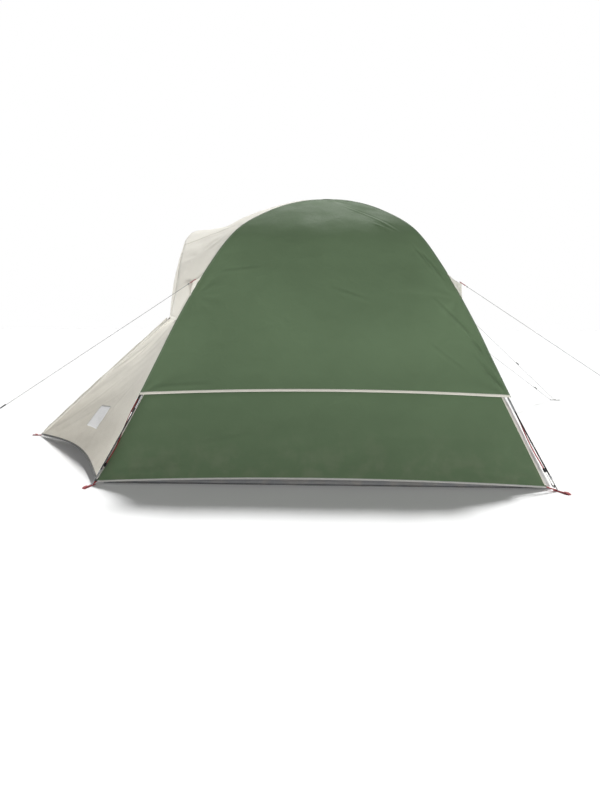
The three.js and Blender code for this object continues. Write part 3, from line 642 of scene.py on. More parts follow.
def rounded(width, height, radius, steps=5):
    ring = []
    for cx, cy, start in ((1, 1, 0), (-1, 1, 90), (-1, -1, 180), (1, -1, 270)):
        for k in range(steps + 1):
            angle = math.radians(start + 90 * k / steps)
            ring.append((cx * (width / 2 - radius) + radius * math.cos(angle),
                         cy * (height / 2 - radius) + radius * math.sin(angle)))
    return ring


def runner_block(name, centre, aim, side, top):
    """The line goes under this slotted tensioner's bridge, so its body stands beside the line."""
    slots = [(x, 0, 0.0027) for x in (-0.013, 0.0, 0.013)]
    return plate(name, rounded(0.042, 0.015, 0.004), slots, 0.0045, 0.0009,
                 basis(aim, side, top, centre + top * 0.0042), PLASTIC, body=name, node=f"guy_{name}")


for guy_name, (guy_tab, guy_ground, guy_runner) in GUYS.items():
    guy_line(guy_name, guy_tab, guy_ground, guy_runner)


# ---------------------------------------------------------------- folds
def calm(edges, reach=0.10, which="lrbt"):
    """1 inside a panel, falling to 0 at its sewn edges."""
    total = 1.0
    for k in which:
        total = total * (1 - np.exp(-((edges[k] / reach) ** 2)))
    return total


def crease(a, b, start, end, width, seed):
    """One long fold between two places on a panel, a ridge beside a groove, thinning out at both ends."""
    start, end = np.array(start), np.array(end)
    run = end - start
    size = np.linalg.norm(run)
    run = run / size
    t = ((a - start[0]) * run[0] + (b - start[1]) * run[1]) / size
    bend = 0.12 * width * ripple(t * size, t * 0, 0.3, seed + 3)
    off = (a - start[0]) * -run[1] + (b - start[1]) * run[0] + bend
    profile = np.exp(-((off / width) ** 2)) - 0.7 * np.exp(-((off / width - 1.4) ** 2))
    return profile * np.exp(-(((t - 0.5) / 0.42) ** 4))


def taut_relief(seed, sag=0.006, depth=0.0030, pulls=(), creases=(), seams="lr", fine=0.0006, puckers=0.0014):
    """Folds of a panel that is drawn tight at its seams: a slight sag, a slow swell, fans of folds from the
    places where it is pulled (across share, up share, reach, depth) and single creases."""
    def relief(a, b, edges):
        def place(across, up):
            row = int(round(np.clip(up, 0, 1) * (len(a) - 1)))
            return lerp(a[row, 0], a[row, -1], across), b[row, b.shape[1] // 2]

        inner = calm(edges)
        height = inner * (ripple(a, b, 0.62, seed) * depth - sag)
        height = height + calm(edges, 0.05) * ripple(a, b, 0.17, seed + 1) * fine
        for k, (across, up, reach, fold) in enumerate(pulls):
            height = height + fan(a, b, place(across, up), reach, 9, seed + 10 + k) * fold
        for k, (x0, y0, x1, y1, width, fold) in enumerate(creases):
            height = height + crease(a, b, place(x0, y0), place(x1, y1), width, seed + 30 + k) * fold
        for k, which in enumerate(seams):
            run = b if which in "lr" else a
            height = height + pucker(edges[which], run, 0.042, 0.050, seed + 20 + k) * puckers
        return height * calm(edges, 0.010, seams)
    return relief


# ---------------------------------------------------------------- trim on panels
def bind(panel, which, name, width, material, thickness=0.0030, depth=None, skip=(0, 0)):
    """Tape sewn along one edge of a panel, folded over both faces of the cloth."""
    line, inward = panel.edge(which, width / 2 - 0.001 if depth is None else depth)
    kept = slice(skip[0], len(line) - skip[1])
    panel.trim.append(sweep(name, line[kept], band(width, thickness), material, panel.body,
                            side=inward[kept]))


LEVEL_RUN = np.r_[0, np.cumsum(np.hypot(np.diff(LEVEL_HALF), np.diff(LEVEL_Z)))]


def even_levels(low, high, count):
    """Places up the section, evenly spaced along it."""
    runs = np.linspace(np.interp(low, LEVELS, LEVEL_RUN), np.interp(high, LEVELS, LEVEL_RUN), count)
    return np.interp(runs, LEVEL_RUN, LEVELS)


# ---------------------------------------------------------------- flysheet over the dome
def fly_side_points(turn, rows=112, columns=150):
    up = even_levels(HEM_UP, 0.992, rows)[:, None]
    across = np.linspace(-1, 1, columns)[None]
    across = across * (1.15 - 0.15 * across**2)  # closer towards the seams, where the folds are
    half, z = fly_section(up)
    share = (up - HEM_UP) / (1 - HEM_UP)
    rise = HEM_RISE * (1 - share) ** 6 * (1 - across**2)
    return turned(np.stack(np.broadcast_arrays(half * across, -half, z + rise), axis=-1), turn)


TAB_SHARE = 0.40  # how far up a side panel its guy tabs are
NEAR_PULLS = [(0, 0, 0.34, 0.0022), (1, 0, 0.42, 0.0030), (0, TAB_SHARE, 0.30, 0.0018),
              (1, TAB_SHARE, 0.34, 0.0022), (0.5, 1, 0.50, 0.0012)]
NEAR_CREASES = [(0.913, 0.378, 0.987, 0.216, 0.013, 0.0080), (0.985, 0.230, 0.997, 0.060, 0.012, 0.0080),
                (0.972, 0.590, 0.992, 0.470, 0.011, 0.0090), (0.955, 0.610, 0.972, 0.500, 0.010, 0.0070),
                (0.819, 0.721, 0.919, 0.694, 0.010, 0.0060), (0.705, 0.874, 0.960, 0.685, 0.013, 0.0040),
                (0.966, 0.243, 0.987, 0.108, 0.010, 0.0070), (0.953, 0.162, 0.987, 0.018, 0.011, 0.0080),
                (0.962, 0.110, 0.992, 0.018, 0.010, 0.0070), (0.960, 0.279, 0.980, 0.162, 0.010, 0.0060),
                (0.826, 0.198, 0.913, 0.090, 0.014, 0.0030), (0.530, 0.396, 0.664, 0.351, 0.012, 0.0040),
                (0.020, 0.027, 0.200, 0.036, 0.014, 0.0030), (0.040, 0.505, 0.228, 0.495, 0.014, 0.0030)]
FAR_CREASES = [(0.03, 0.03, 0.18, 0.32, 0.016, 0.0035), (0.30, 0.84, 0.16, 0.64, 0.014, 0.0030),
               (0.97, 0.05, 0.86, 0.36, 0.015, 0.0030)]
fly = {}
for side_name, turn, cloth_kind, folds, grid in (("near", 0, GREEN, NEAR_CREASES, (150, 240)),
                                                 ("rear", math.pi / 2, BEIGE, FAR_CREASES, (112, 150)),
                                                 ("far", math.pi, GREEN, FAR_CREASES, (112, 150))):
    seed = 100 + int(turn * 10)
    panel = Panel(f"flysheet_{side_name}", fly_side_points(turn, *grid),
                  taut_relief(seed, depth=0.0022, pulls=NEAR_PULLS, creases=folds, fine=0.0003,
                              puckers=0.0010),
                  cloth_kind, f"fly_side_{side_name}", hangs_on=["main_pole_a", "main_pole_b"])
    fly[side_name] = panel
    bind(panel, "b", f"hem_binding_{side_name}", 0.018, CREAM_TAPE, thickness=0.0036)
    seam_tape = BEIGE_TAPE if side_name == "rear" else GREEN_TAPE
    for which in "lr":
        bind(panel, which, f"seam_{side_name}_{which}", 0.012, seam_tape, skip=(1, 3))


def corner_line(x, y, low, high, count):
    half, z = fly_section(even_levels(low, high, count))
    return np.stack([x * half, y * half, z], axis=1)


for corner, (x, y) in CORNERS.items():
    welt = rod(f"seam_welt_{corner}", corner_line(x, y, HEM_UP, 0.985, 150), 0.0021, GREEN_TAPE,
               sides=12)
    fly["near" if y < 0 else "far"].trim.append(welt)


def roof_front_points(up, across):
    """across runs from the far side to the near side, which is left to right seen from the porch."""
    half, z = fly_section(lerp(HOOD_UP, 0.985, up))
    middle = spline(FRONT_RIDGE, up)
    side = 1 - 2 * across
    return np.stack(np.broadcast_arrays(lerp(middle[..., 0], -half, side**2), side * half,
                                        lerp(middle[..., 1], z, side**2)), axis=-1)


roof = Panel("roof_front", roof_front_points(np.linspace(0, 1, 60)[:, None], np.linspace(0, 1, 84)[None]),
             taut_relief(210, sag=0.0, depth=0.0030,
                         pulls=[(0.5, 0, 0.35, 0.0030), (1, 0, 0.3, 0.0025), (0, 0, 0.3, 0.0025)],
                         creases=[(0.95, 0.05, 0.70, 0.55, 0.016, 0.0035),
                                  (0.05, 0.05, 0.3, 0.5, 0.016, 0.0035)]),
             BEIGE, "fly_roof_front", hangs_on=["main_pole_a", "main_pole_b"])
for which in "lr":
    bind(roof, which, f"seam_roof_{which}", 0.012, BEIGE_TAPE, skip=(1, 3))

# The crown patch is a small eight-cornered piece, sewn down over the meeting of the seams.
u, v = np.meshgrid(np.linspace(-1, 1, 25), np.linspace(-1, 1, 25))
spread = 0.070 * np.maximum(np.abs(u), np.abs(v)) / np.maximum(np.hypot(u, v), 1e-9)
spread = spread * (1 + 0.03 * np.cos(8 * np.arctan2(v, u)))
CROWN_LIFT = 0.0034
crown_z = np.interp(np.hypot(u, v) * spread, LEVEL_HALF[::-1], LEVEL_Z[::-1]) + CROWN_LIFT
crown_points = np.stack([u * spread, v * spread, crown_z], axis=-1)
Panel("crown_reinforcement", crown_points, lambda a, b, edges: ripple(a, b, 0.03, 5) * 0.0003, GREEN,
      "crown_patch", held="laid", hangs_on=["flysheet_near"])

# ---------------------------------------------------------------- porch
SEAM_OFF = 0.0015


def dome_seam(up):
    half, z = fly_section(up)
    return np.stack(np.broadcast_arrays(-half - SEAM_OFF, SEAM_OFF - half, z), axis=-1)


FOOT_UP = 0.020
POLE_TUCK = 0.0150  # below the flysheet's hem the wall's edge turns in over the pole
SEAM_TOP_UP = BROW_UP - 0.006
porch_foot = dome_seam(np.array(FOOT_UP))
seam_top = dome_seam(np.array(SEAM_TOP_UP))
corner_low = BROW_CORNER - UP * 0.006
peg_corner = PORCH_PEG + np.array([0.010, -0.010, 0.002])


def porch_hem(t):
    hollow = np.sin(math.pi * t)[..., None]
    return lerp(porch_foot, PORCH_PEG, t[..., None]) + np.array([0.088, 0.034, 0.036]) * hollow


def porch_side_points(rows=84, columns=72):
    """Between the hem, the dome's seam, the crease to the peg and the short edge under the hood."""
    up = np.linspace(0, 1, rows)[:, None, None]
    across = np.linspace(0, 1, columns)[None, :, None]
    bottom = porch_hem(np.linspace(0, 1, columns) * 0.985)[None]
    top = lerp(seam_top, corner_low, across)
    seam = dome_seam(lerp(FOOT_UP, SEAM_TOP_UP, np.linspace(0, 1, rows)))[:, None]
    tuck = POLE_TUCK * np.clip((0.46 - seam[..., 2]) / 0.12, 0, 1)
    seam[..., 0] += tuck
    seam[..., 1] -= tuck * 0.3
    fold = lerp(bottom[:, -1:], corner_low, up)
    corners = (bottom[:, :1] * (1 - across) * (1 - up) + bottom[:, -1:] * across * (1 - up)
               + top[:, :1] * (1 - across) * up + top[:, -1:] * across * up)
    points = bottom * (1 - up) + top * up + seam * (1 - across) + fold * across - corners
    return points[:, ::-1]


porch_relief = taut_relief(310, sag=0.002, depth=0.0035, seams="lr", puckers=0.0010,
                           pulls=[(0, 0, 0.45, 0.0035), (1, 0, 0.35, 0.0030), (0.5, 1, 0.40, 0.0022)],
                           creases=[(0.93, 0.04, 0.80, 0.55, 0.016, 0.0035),
                                    (0.04, 0.05, 0.42, 0.62, 0.014, 0.0028),
                                    (0.60, 0.10, 0.75, 0.50, 0.020, 0.0022),
                                    (0.10, 0.02, 0.62, 0.40, 0.014, 0.0022)])
near_grid = porch_side_points()
LABEL_ROWS, LABEL_COLUMNS = slice(12, 25), slice(29, 41)
porch = {"near": Panel("porch_wall_near", near_grid, porch_relief, BEIGE, "porch_side_near",
                       hangs_on=["main_pole_a"]),
         "far": Panel("porch_wall_far", mirrored(near_grid)[:, ::-1], porch_relief, BEIGE,
                      "porch_side_far", hangs_on=["main_pole_b"])}
for side_name, panel in porch.items():
    seam_edge, fold_edge = ("r", "l") if side_name == "near" else ("l", "r")
    bind(panel, "b", f"porch_hem_{side_name}", 0.014, DARK_TAPE, thickness=0.0034)
    bind(panel, seam_edge, f"porch_seam_{side_name}", 0.012, BEIGE_TAPE, skip=(1, 1))
    bind(panel, fold_edge, f"porch_fold_{side_name}", 0.010, BEIGE_TAPE, skip=(1, 1))

# Each door is a triangle from the peg to the brow pole's end and the ridge, with a slight belly.
DOOR_INSET = 0.004


def inset(corners, amount):
    """A triangle shrunk by the same amount on each side."""
    corners = np.array(corners)
    sides = np.array([np.linalg.norm(corners[a] - corners[b]) for a, b in ((1, 2), (2, 0), (0, 1))])
    centre = (corners * sides[:, None]).sum(axis=0) / sides.sum()
    area = np.linalg.norm(np.cross(corners[1] - corners[0], corners[2] - corners[0])) / 2
    return lerp(centre, corners, 1 - amount * sides.sum() / (2 * area))


door_peg, door_brow, door_ridge = inset([peg_corner, BROW_CORNER, RIDGE_TOP], DOOR_INSET)
up = np.linspace(0.012, 1, 84)[:, None, None]
across = np.linspace(0, 1, 64)[None, :, None]
door_grid = lerp(lerp(door_peg, door_ridge, up), lerp(door_peg, door_brow, up), across)
door_relief = taut_relief(410, sag=-0.003, depth=0.0022, seams="lr", puckers=0.0008, fine=0.0005,
                          pulls=[(0.5, 0, 0.55, 0.0024), (1, 1, 0.35, 0.0024), (0, 1, 0.30, 0.0020)],
                          creases=[(0.45, 0.1, 0.75, 0.8, 0.014, 0.0020)])
ridge_way = unit(door_ridge - door_peg)
door_out = unit(np.cross(door_brow - door_ridge, door_peg - door_ridge))
if door_out[2] < 0:
    door_out = -door_out
doors = {"near": Panel("door_near_cloth", door_grid, door_relief, BEIGE, "porch_door_near",
                       body="door_near", hangs_on=["brow_pole_rod"]),
         "far": Panel("door_far_cloth", mirrored(door_grid)[:, ::-1], door_relief, BEIGE,
                      "porch_door_far", body="door_far", hangs_on=["brow_pole_rod"])}
for side_name, panel in doors.items():
    ridge_edge, fold_edge = ("l", "r") if side_name == "near" else ("r", "l")
    bind(panel, ridge_edge, f"zip_tape_{side_name}", 0.016, GREY_TAPE, skip=(1, 1))
    bind(panel, fold_edge, f"door_fold_{side_name}", 0.009, BEIGE_TAPE, skip=(1, 1))
    panel.points = panel.points + door_out * (1 if side_name == "near" else np.array([1, -1, 1])) * 0.004
    bind(panel, "t", f"door_flap_{side_name}", 0.030, BEIGE_TAPE, thickness=0.0016, depth=-0.004,
         skip=(1, 1))

# The line that both doors fold on is piped, so that no gap shows beside them.
for side_name, flip in (("near", 1), ("far", -1)):
    ends = [peg_corner * [1, flip, 1], corner_low * [1, flip, 1]]
    piping = rod(f"fold_piping_{side_name}", lerp(ends[0], ends[1], np.linspace(0, 1, 90)[:, None]), 0.0040,
                 BEIGE_TAPE, sides=12)
    porch[side_name].trim.append(piping)

# Zip coil along the ridge, with a flap over it. Both are sewn to the near door.
ridge_mid = (door_ridge + mirrored(door_ridge)) / 2
peg_mid = (door_peg + mirrored(door_peg)) / 2
coil_count = 420
coil_t = np.linspace(0.01, 0.995, coil_count)[:, None]
coil_line = lerp(peg_mid, ridge_mid, coil_t) + door_out * 0.0004
coil = rod("ridge_zip_coil", coil_line, 0.0022, DARK_TAPE, "door_near", sides=8,
           scale=1 + 0.18 * np.where(np.arange(coil_count) % 2, 1, -1))
doors["near"].trim.append(coil)
flap_rows, flap_columns = 120, 9
flap_up = np.linspace(0.02, 0.985, flap_rows)[:, None]
flap_across = np.linspace(0, 1, flap_columns)[None]
ridge_side = unit(np.cross(ridge_way, door_out))
if ridge_side[1] > 0:
    ridge_side = -ridge_side
flap_root = lerp(peg_mid, ridge_mid, flap_up[..., None]) + ridge_side * 0.026 + door_out * 0.0045
flap_reach = 0.040 * np.minimum(1, 0.35 + flap_up * 2)
flap_points = (flap_root - ridge_side * (flap_across * flap_reach)[..., None]
               + UP * (np.sin(math.pi * flap_across) * flap_reach * 0.42)[..., None])
flap = Panel("ridge_flap", flap_points[:, ::-1],
             lambda a, b, edges: 0.0022 * ripple(b, b * 0, 0.20, 433) * np.clip(edges["r"] / 0.04, 0, 1) ** 2,
             BEIGE, body="door_near", held="hung", hangs_on=["door_near_cloth"])
bind(flap, "l", "ridge_flap_hem", 0.007, BEIGE_TAPE, thickness=0.0026)

# ---------------------------------------------------------------- brow, front wall and hood
BROW_ARCH = np.array(BROW + [(x, -y, z) for x, y, z in BROW[-2::-1]])
ARCH_MARGIN = 0.004


def brow_edge(t):
    return carried_spline(BROW_ARCH, lerp(ARCH_MARGIN, 1 - ARCH_MARGIN, t))


def brow_rows(down, across):
    """The front wall: from the brow arch down to the doors' top edges. across runs from near to far."""
    arch = brow_edge(across[..., 0]) + np.array([-0.004, 0, -0.001])
    side = 2 * across - 1
    sill = np.concatenate([lerp(RIDGE_TOP[0], BROW_CORNER[0], np.abs(side)), side * -BROW_CORNER[1] * 0.985,
                           lerp(RIDGE_TOP[2], BROW_CORNER[2], np.abs(side)) + 0.004], axis=-1)
    belly = np.sin(math.pi * down) * (1 - side**2) * 0.018
    return lerp(arch, sill, down) - np.concatenate([belly, belly * 0, belly * 0], axis=-1)


front = Panel("porch_front", brow_rows(np.linspace(0, 1, 52)[:, None, None],
                                       np.linspace(0, 1, 190)[None, :, None]),
              taut_relief(510, sag=-0.001, depth=0.0030, seams="tb", puckers=0.0010,
                          pulls=[(0.5, 1, 0.35, 0.0035), (0.02, 1, 0.30, 0.0030), (0.98, 1, 0.30, 0.0030)]),
              BEIGE, "porch_front_wall", hangs_on=["brow_pole_rod"])
bind(front, "t", "front_sill_tape", 0.014, GREY_TAPE, skip=(2, 2))


def hood_seam(across):
    side = 2 * across - 1
    shoulder = 0.42  # the share of the brow pole on each side that runs along a main pole
    along_pole = np.minimum((1 - np.abs(side)) / shoulder, 1)
    low = dome_seam(lerp(BROW_UP - 0.003, HOOD_UP - 0.002, along_pole))
    low[..., 1] *= np.where(side < 0, 1, -1)
    top = roof_front_points(np.array(0.0), 0.5 - side / (1 - shoulder) * 0.5) + np.array([-0.003, 0, -0.001])
    return np.where((along_pole < 1)[..., None], low, top)


hood_across = np.linspace(0, 1, 190)
out = np.linspace(0, 1, 30)[:, None, None]
hood_front = brow_edge(hood_across) + np.array([0, 0, 0.002])
hood_points = lerp(hood_seam(hood_across)[None], hood_front[None], out)
hood = Panel("porch_hood_cloth", hood_points,
             taut_relief(610, sag=0.002, depth=0.0026, seams="tb", puckers=0.0010,
                         pulls=[(0.30, 0, 0.25, 0.0028), (0.70, 0, 0.25, 0.0028), (0.18, 1, 0.25, 0.0022),
                                (0.82, 1, 0.25, 0.0022)]),
             BEIGE, "porch_hood", hangs_on=["brow_pole_rod", "main_pole_a", "main_pole_b"])
bind(hood, "b", "hood_seam_tape", 0.012, BEIGE_TAPE, skip=(1, 1))
welt_line = brow_edge(np.linspace(0, 1, 220)) + np.array([-0.002, 0, 0.001])
hood.trim.append(rod("brow_welt", welt_line, 0.0026, BEIGE_TAPE, sides=12))
for side_name, sign in (("near", -1), ("far", 1)):
    share = 0.5 + sign * 0.24
    column = int(share * (len(hood_across) - 1))
    line = hood.points[:, column]
    seam = sweep(f"hood_cross_seam_{side_name}", along(line, 24), band(0.010, 0.0026), BEIGE_TAPE,
                 side=(0, 1, 0))
    hood.trim.append(seam)

# A small gusset on each side closes the corner where the hood, the porch wall and the door meet.
gusset_low = lerp(seam_top, corner_low, np.linspace(0, 1, 24)[:, None]) - UP * 0.010
gusset_high = along(hood_points[:, 0], 24) + UP * 0.012
gusset_side = unit(np.cross(gusset_low[-1] - gusset_low[0], UP))
gusset_grid = lerp(gusset_low[None], gusset_high[None],
                   np.linspace(0, 1, 9)[:, None, None]) + gusset_side * 0.002
for side_name, points in (("near", gusset_grid[:, ::-1]), ("far", mirrored(gusset_grid))):
    Panel(f"brow_gusset_{side_name}", points, lambda a, b, edges: ripple(a, b, 0.06, 640) * 0.0004, BEIGE,
          hangs_on=[f"porch_wall_{side_name}"])

# A plain stitched label on the near porch wall.
label_grid = porch["near"].points[LABEL_ROWS, LABEL_COLUMNS]
Panel("porch_label", label_grid + grid_normals(label_grid) * 0.0026,
      lambda a, b, edges: ripple(a, b, 0.05, 650) * 0.0003, LABEL_CLOTH, held="laid",
      hangs_on=["porch_wall_near"])

# ---------------------------------------------------------------- poles
POLE_CROSSING_DROP = 0.011
END_SECTION = 0.630
PIN_LENGTH = 0.095
FERRULE_LENGTH = 0.100
FERRULE_R = 0.0064
SECTION = 0.600


def soft_ends(count, fraction=0.06, least=0.72):
    """Radius shares for a rod whose ends are rounded off."""
    t = np.linspace(0, 1, count)
    edge = np.clip(np.minimum(t, 1 - t) / fraction, 0, 1)
    return least + (1 - least) * np.sqrt(1 - (1 - edge) ** 2)


def main_pole(name, slant, drop, start, end):
    reach = FOOT / 3
    half_points = [(-half, -half * slant, z - drop * max(0, 1 - half / reach)) for half, z in HOOP]
    control = half_points + [(-x, -y, z) for x, y, z in half_points[-2::-1]]
    line = carried_spline(control, np.linspace(0, 1, 4000))
    total = lengths_to(line)[-1]
    arch = along(line, 220, END_SECTION, total - END_SECTION)
    rod(name, arch, POLE_R, FIBREGLASS, node=f"{name}_arch")
    joints = int((total - 2 * END_SECTION) / SECTION)
    for k in range(1, joints + 1):
        middle = END_SECTION + k * (total - 2 * END_SECTION) / (joints + 1)
        sleeve = along(line, 12, middle - 0.045, middle + 0.045)
        rod(f"{name}_joint_{k}", sleeve, 0.0058, STEEL, scale=soft_ends(12, 0.1, 0.85))
    for corner, way in ((start, 1), (end, -1)):
        whole = line[::way]
        lower = along(whole, 60, PIN_LENGTH, END_SECTION)
        rod(f"pole_section_{corner}", lower, POLE_R, FIBREGLASS, node=f"pole_end_{corner}")
        sleeve = along(whole, 24, END_SECTION - FERRULE_LENGTH / 2, END_SECTION + FERRULE_LENGTH / 2)
        rod(f"pole_ferrule_{corner}", sleeve, FERRULE_R, STEEL, sides=24, scale=soft_ends(24, 0.08, 0.86),
            node=f"ferrule_{corner}")
        cap = along(whole, 20, END_SECTION + 0.062, END_SECTION + 0.104)
        rod(f"pole_cap_{corner}", cap, 0.0078, PLASTIC, sides=24,
            scale=soft_ends(20, 0.16, 0.70) * (1 - 0.07 * (np.arange(20) % 4 == 1)))
        pin_line = along(whole, 40, 0.004, PIN_LENGTH + 0.010)
        point = np.clip(np.linspace(0, 1, 40) / 0.10, 0.25, 1)
        rod(f"pole_pin_{corner}", pin_line, 0.0030, STEEL, sides=16, scale=point, node=f"foot_pin_{corner}")
        collar = along(whole, 12, PIN_LENGTH - 0.008, PIN_LENGTH + 0.022)
        rod(f"pole_collar_{corner}", collar, 0.0059, STEEL, sides=24, scale=soft_ends(12, 0.2, 0.75))


main_pole("main_pole_a", 1, 0, "porch_near", "rear_far")
main_pole("main_pole_b", -1, POLE_CROSSING_DROP, "porch_far", "rear_near")

BROW_END = 0.075
BROW_POLE_DEPTH = 0.019
under = BROW_ARCH + unit((BROW_ARCH - UP) * np.array([0, 1, 1])) * -BROW_POLE_DEPTH
under_line = carried_spline(under, np.linspace(0, 1, 3000))
brow_length = lengths_to(under_line)[-1]
brow_line = along(under_line, 160, BROW_END, brow_length - BROW_END)
rod("brow_pole_rod", brow_line, POLE_R, FIBREGLASS, node="brow_pole")
for k, middle in enumerate((0.25, 0.5, 0.75)):
    sleeve = along(under_line, 12, brow_length * middle - 0.04, brow_length * middle + 0.04)
    rod(f"brow_pole_joint_{k}", sleeve, 0.0058, STEEL, scale=soft_ends(12, 0.1, 0.85))
for side_name, low in (("near", BROW_END), ("far", brow_length - BROW_END)):
    tip = along(under_line, 12, low - 0.014, low + 0.014)
    rod(f"brow_pole_tip_{side_name}", tip, 0.0052, PLASTIC, scale=soft_ends(12, 0.3, 0.6))

# ---------------------------------------------------------------- lower walls
LOWER_TOP_HALF, LOWER_TOP_Z = 1.176, 0.602
LOWER_BOTTOM_HALF, LOWER_BOTTOM_Z = 1.466, 0.014


def lower_wall_points(from_top, to_top, from_bottom, to_bottom, turn, rows=40, columns=150, arch=0.036):
    up = np.linspace(0, 1, rows)[:, None]
    across = np.linspace(0, 1, columns)[None]
    rise = arch * (1 - (2 * across - 1) ** 2) * (1 - up) ** 2
    points = np.stack(np.broadcast_arrays(
        lerp(lerp(from_bottom, to_bottom, across), lerp(from_top, to_top, across), up),
        -lerp(LOWER_BOTTOM_HALF, LOWER_TOP_HALF, up),
        lerp(LOWER_BOTTOM_Z, LOWER_TOP_Z, up) + rise), axis=-1)
    return turned(points, turn)


for side_name, spans, turn, cloth_kind in (("near", (-1.196, 1.168, -1.486, 1.438), 0, GREEN),
                                           ("far", (-1.168, 1.196, -1.438, 1.486), math.pi, GREEN),
                                           ("rear", (-1.152, 1.152, -1.436, 1.436), math.pi / 2, BEIGE)):
    relief = taut_relief(710 + int(turn * 10), sag=0.004, depth=0.0028, seams="lr", puckers=0.0010,
                         pulls=[(0, 0, 0.40, 0.0032), (1, 0, 0.40, 0.0032), (0.5, 0, 0.5, 0.0010)],
                         creases=[(0.01, 0.10, 0.22, 0.16, 0.014, 0.0028),
                                  (0.99, 0.10, 0.80, 0.20, 0.014, 0.0026),
                                  (0.19, 0.42, 0.33, 0.50, 0.013, 0.0026),
                                  (0.60, 0.40, 0.86, 0.46, 0.022, 0.0016)])
    panel = Panel(f"wall_{side_name}", lower_wall_points(*spans, turn), relief, cloth_kind,
                  f"lower_wall_{side_name}", held="hung", hangs_on=[f"flysheet_{side_name}"])
    bind(panel, "b", f"wall_hem_{side_name}", 0.012, GREY_TAPE, thickness=0.0034)
    for which in "lr":
        bind(panel, which, f"wall_edge_{side_name}_{which}", 0.010, CREAM_TAPE, skip=(1, 1))

# ---------------------------------------------------------------- inner tent
INNER_LOW = 1 / 6


def inner_section(level):
    low, high = np.array(INNER_HOOP[0]), np.array(INNER_HOOP[1])
    straight = lerp(low, high, (level * 6)[..., None])
    return np.where((level <= INNER_LOW)[..., None], straight, spline(INNER_HOOP, level))


def inner_wall_points(turn, low=0.0, rows=80, columns=60):
    level = np.r_[np.linspace(low, INNER_LOW, rows // 3, endpoint=False),
                  np.linspace(INNER_LOW, 1, rows - rows // 3)]
    if low == INNER_LOW:
        level = np.linspace(INNER_LOW, 1, rows)
    section = inner_section(level)[:, None]
    side = np.linspace(-1, 1, columns)[None]
    points = np.stack(np.broadcast_arrays(side * section[..., 0], -section[..., 0], section[..., 1]), axis=-1)
    return turned(points, turn)


inner_relief = taut_relief(810, sag=0.005, depth=0.0040, seams="lr", puckers=0.0016,
                           pulls=[(0, 0, 0.4, 0.003), (1, 0, 0.4, 0.003)])
inner = {side_name: Panel(f"inner_tent_{side_name}", inner_wall_points(turn), inner_relief, INNER,
                          f"inner_wall_{side_name}", held="hung", hangs_on=["main_pole_a", "main_pole_b"])
         for side_name, turn in (("near", 0), ("rear", math.pi / 2), ("far", math.pi))}

DOOR_HALF, DOOR_SILL, DOOR_SPRING, DOOR_TOP = 0.430, 0.190, 0.880, 1.120


def on_inner_front(y, z):
    (half_low, z_low), (half_high, z_high) = INNER_HOOP[0], INNER_HOOP[1]
    share = (z - z_low) / (z_high - z_low)
    return np.stack([-lerp(half_low, half_high, share), y, z], axis=-1)


def ring_points(corners, counts):
    """A closed line through corners, with so many steps on each side."""
    corners = np.array(corners)
    parts = [lerp(corners[k], corners[(k + 1) % len(corners)], np.linspace(0, 1, n, endpoint=False)[:, None])
             for k, n in enumerate(counts)]
    return np.vstack([*parts, parts[0][:1]])


angle = np.linspace(0, math.pi, 40, endpoint=False)
arch_yz = np.stack([-DOOR_HALF * np.cos(angle), DOOR_SPRING + (DOOR_TOP - DOOR_SPRING) * np.sin(angle)],
                   axis=1)
sill_yz = np.stack([np.linspace(DOOR_HALF, -DOOR_HALF, 40, endpoint=False), np.full(40, DOOR_SILL)], axis=1)
far_jamb = np.stack([np.full(30, DOOR_HALF), np.linspace(DOOR_SPRING, DOOR_SILL, 30, endpoint=False)], axis=1)
near_jamb = np.stack([np.full(30, -DOOR_HALF), np.linspace(DOOR_SILL, DOOR_SPRING, 30, endpoint=False)],
                     axis=1)
doorway_yz = np.vstack([near_jamb, arch_yz, far_jamb, sill_yz])
doorway_yz = np.vstack([doorway_yz, doorway_yz[:1]])
(low_half, low_z), (high_half, high_z) = INNER_HOOP[0], INNER_HOOP[1]
rim_yz = ring_points([(-low_half, low_z), (-high_half, high_z), (high_half, high_z), (low_half, low_z)],
                     (30, 40, 30, 40))
spread_out = np.linspace(0, 1, 26)[:, None, None] ** 1.2
wall_yz = lerp(doorway_yz[None], rim_yz[None], spread_out)
door_wall = Panel("inner_tent_front", on_inner_front(wall_yz[..., 0], wall_yz[..., 1]),
                  lambda a, b, edges: ripple(a, b, 0.3, 820) * 0.0016
                  * np.clip(np.minimum(edges["t"], b) / 0.1, 0, 1),
                  INNER, "inner_wall_front", held="hung", hangs_on=["main_pole_a"], sewn="tb")
doorway_trim = rod("inner_doorway_piping", door_wall.points[0], 0.0042, DARK_TAPE,
                   sides=12)
door_wall.trim.append(doorway_trim)
Panel("inner_tent_front_top", inner_wall_points(-math.pi / 2, INNER_LOW, 60), inner_relief, INNER,
      held="hung", hangs_on=["main_pole_a", "main_pole_b"])
for corner, (x, y) in CORNERS.items():
    section = inner_section(np.linspace(0.0, 0.97, 90))
    line = np.stack([x * section[:, 0], y * section[:, 0], section[:, 1]], axis=1)
    rod(f"inner_seam_{corner}", line, 0.0030, GREY_TAPE, sides=10)

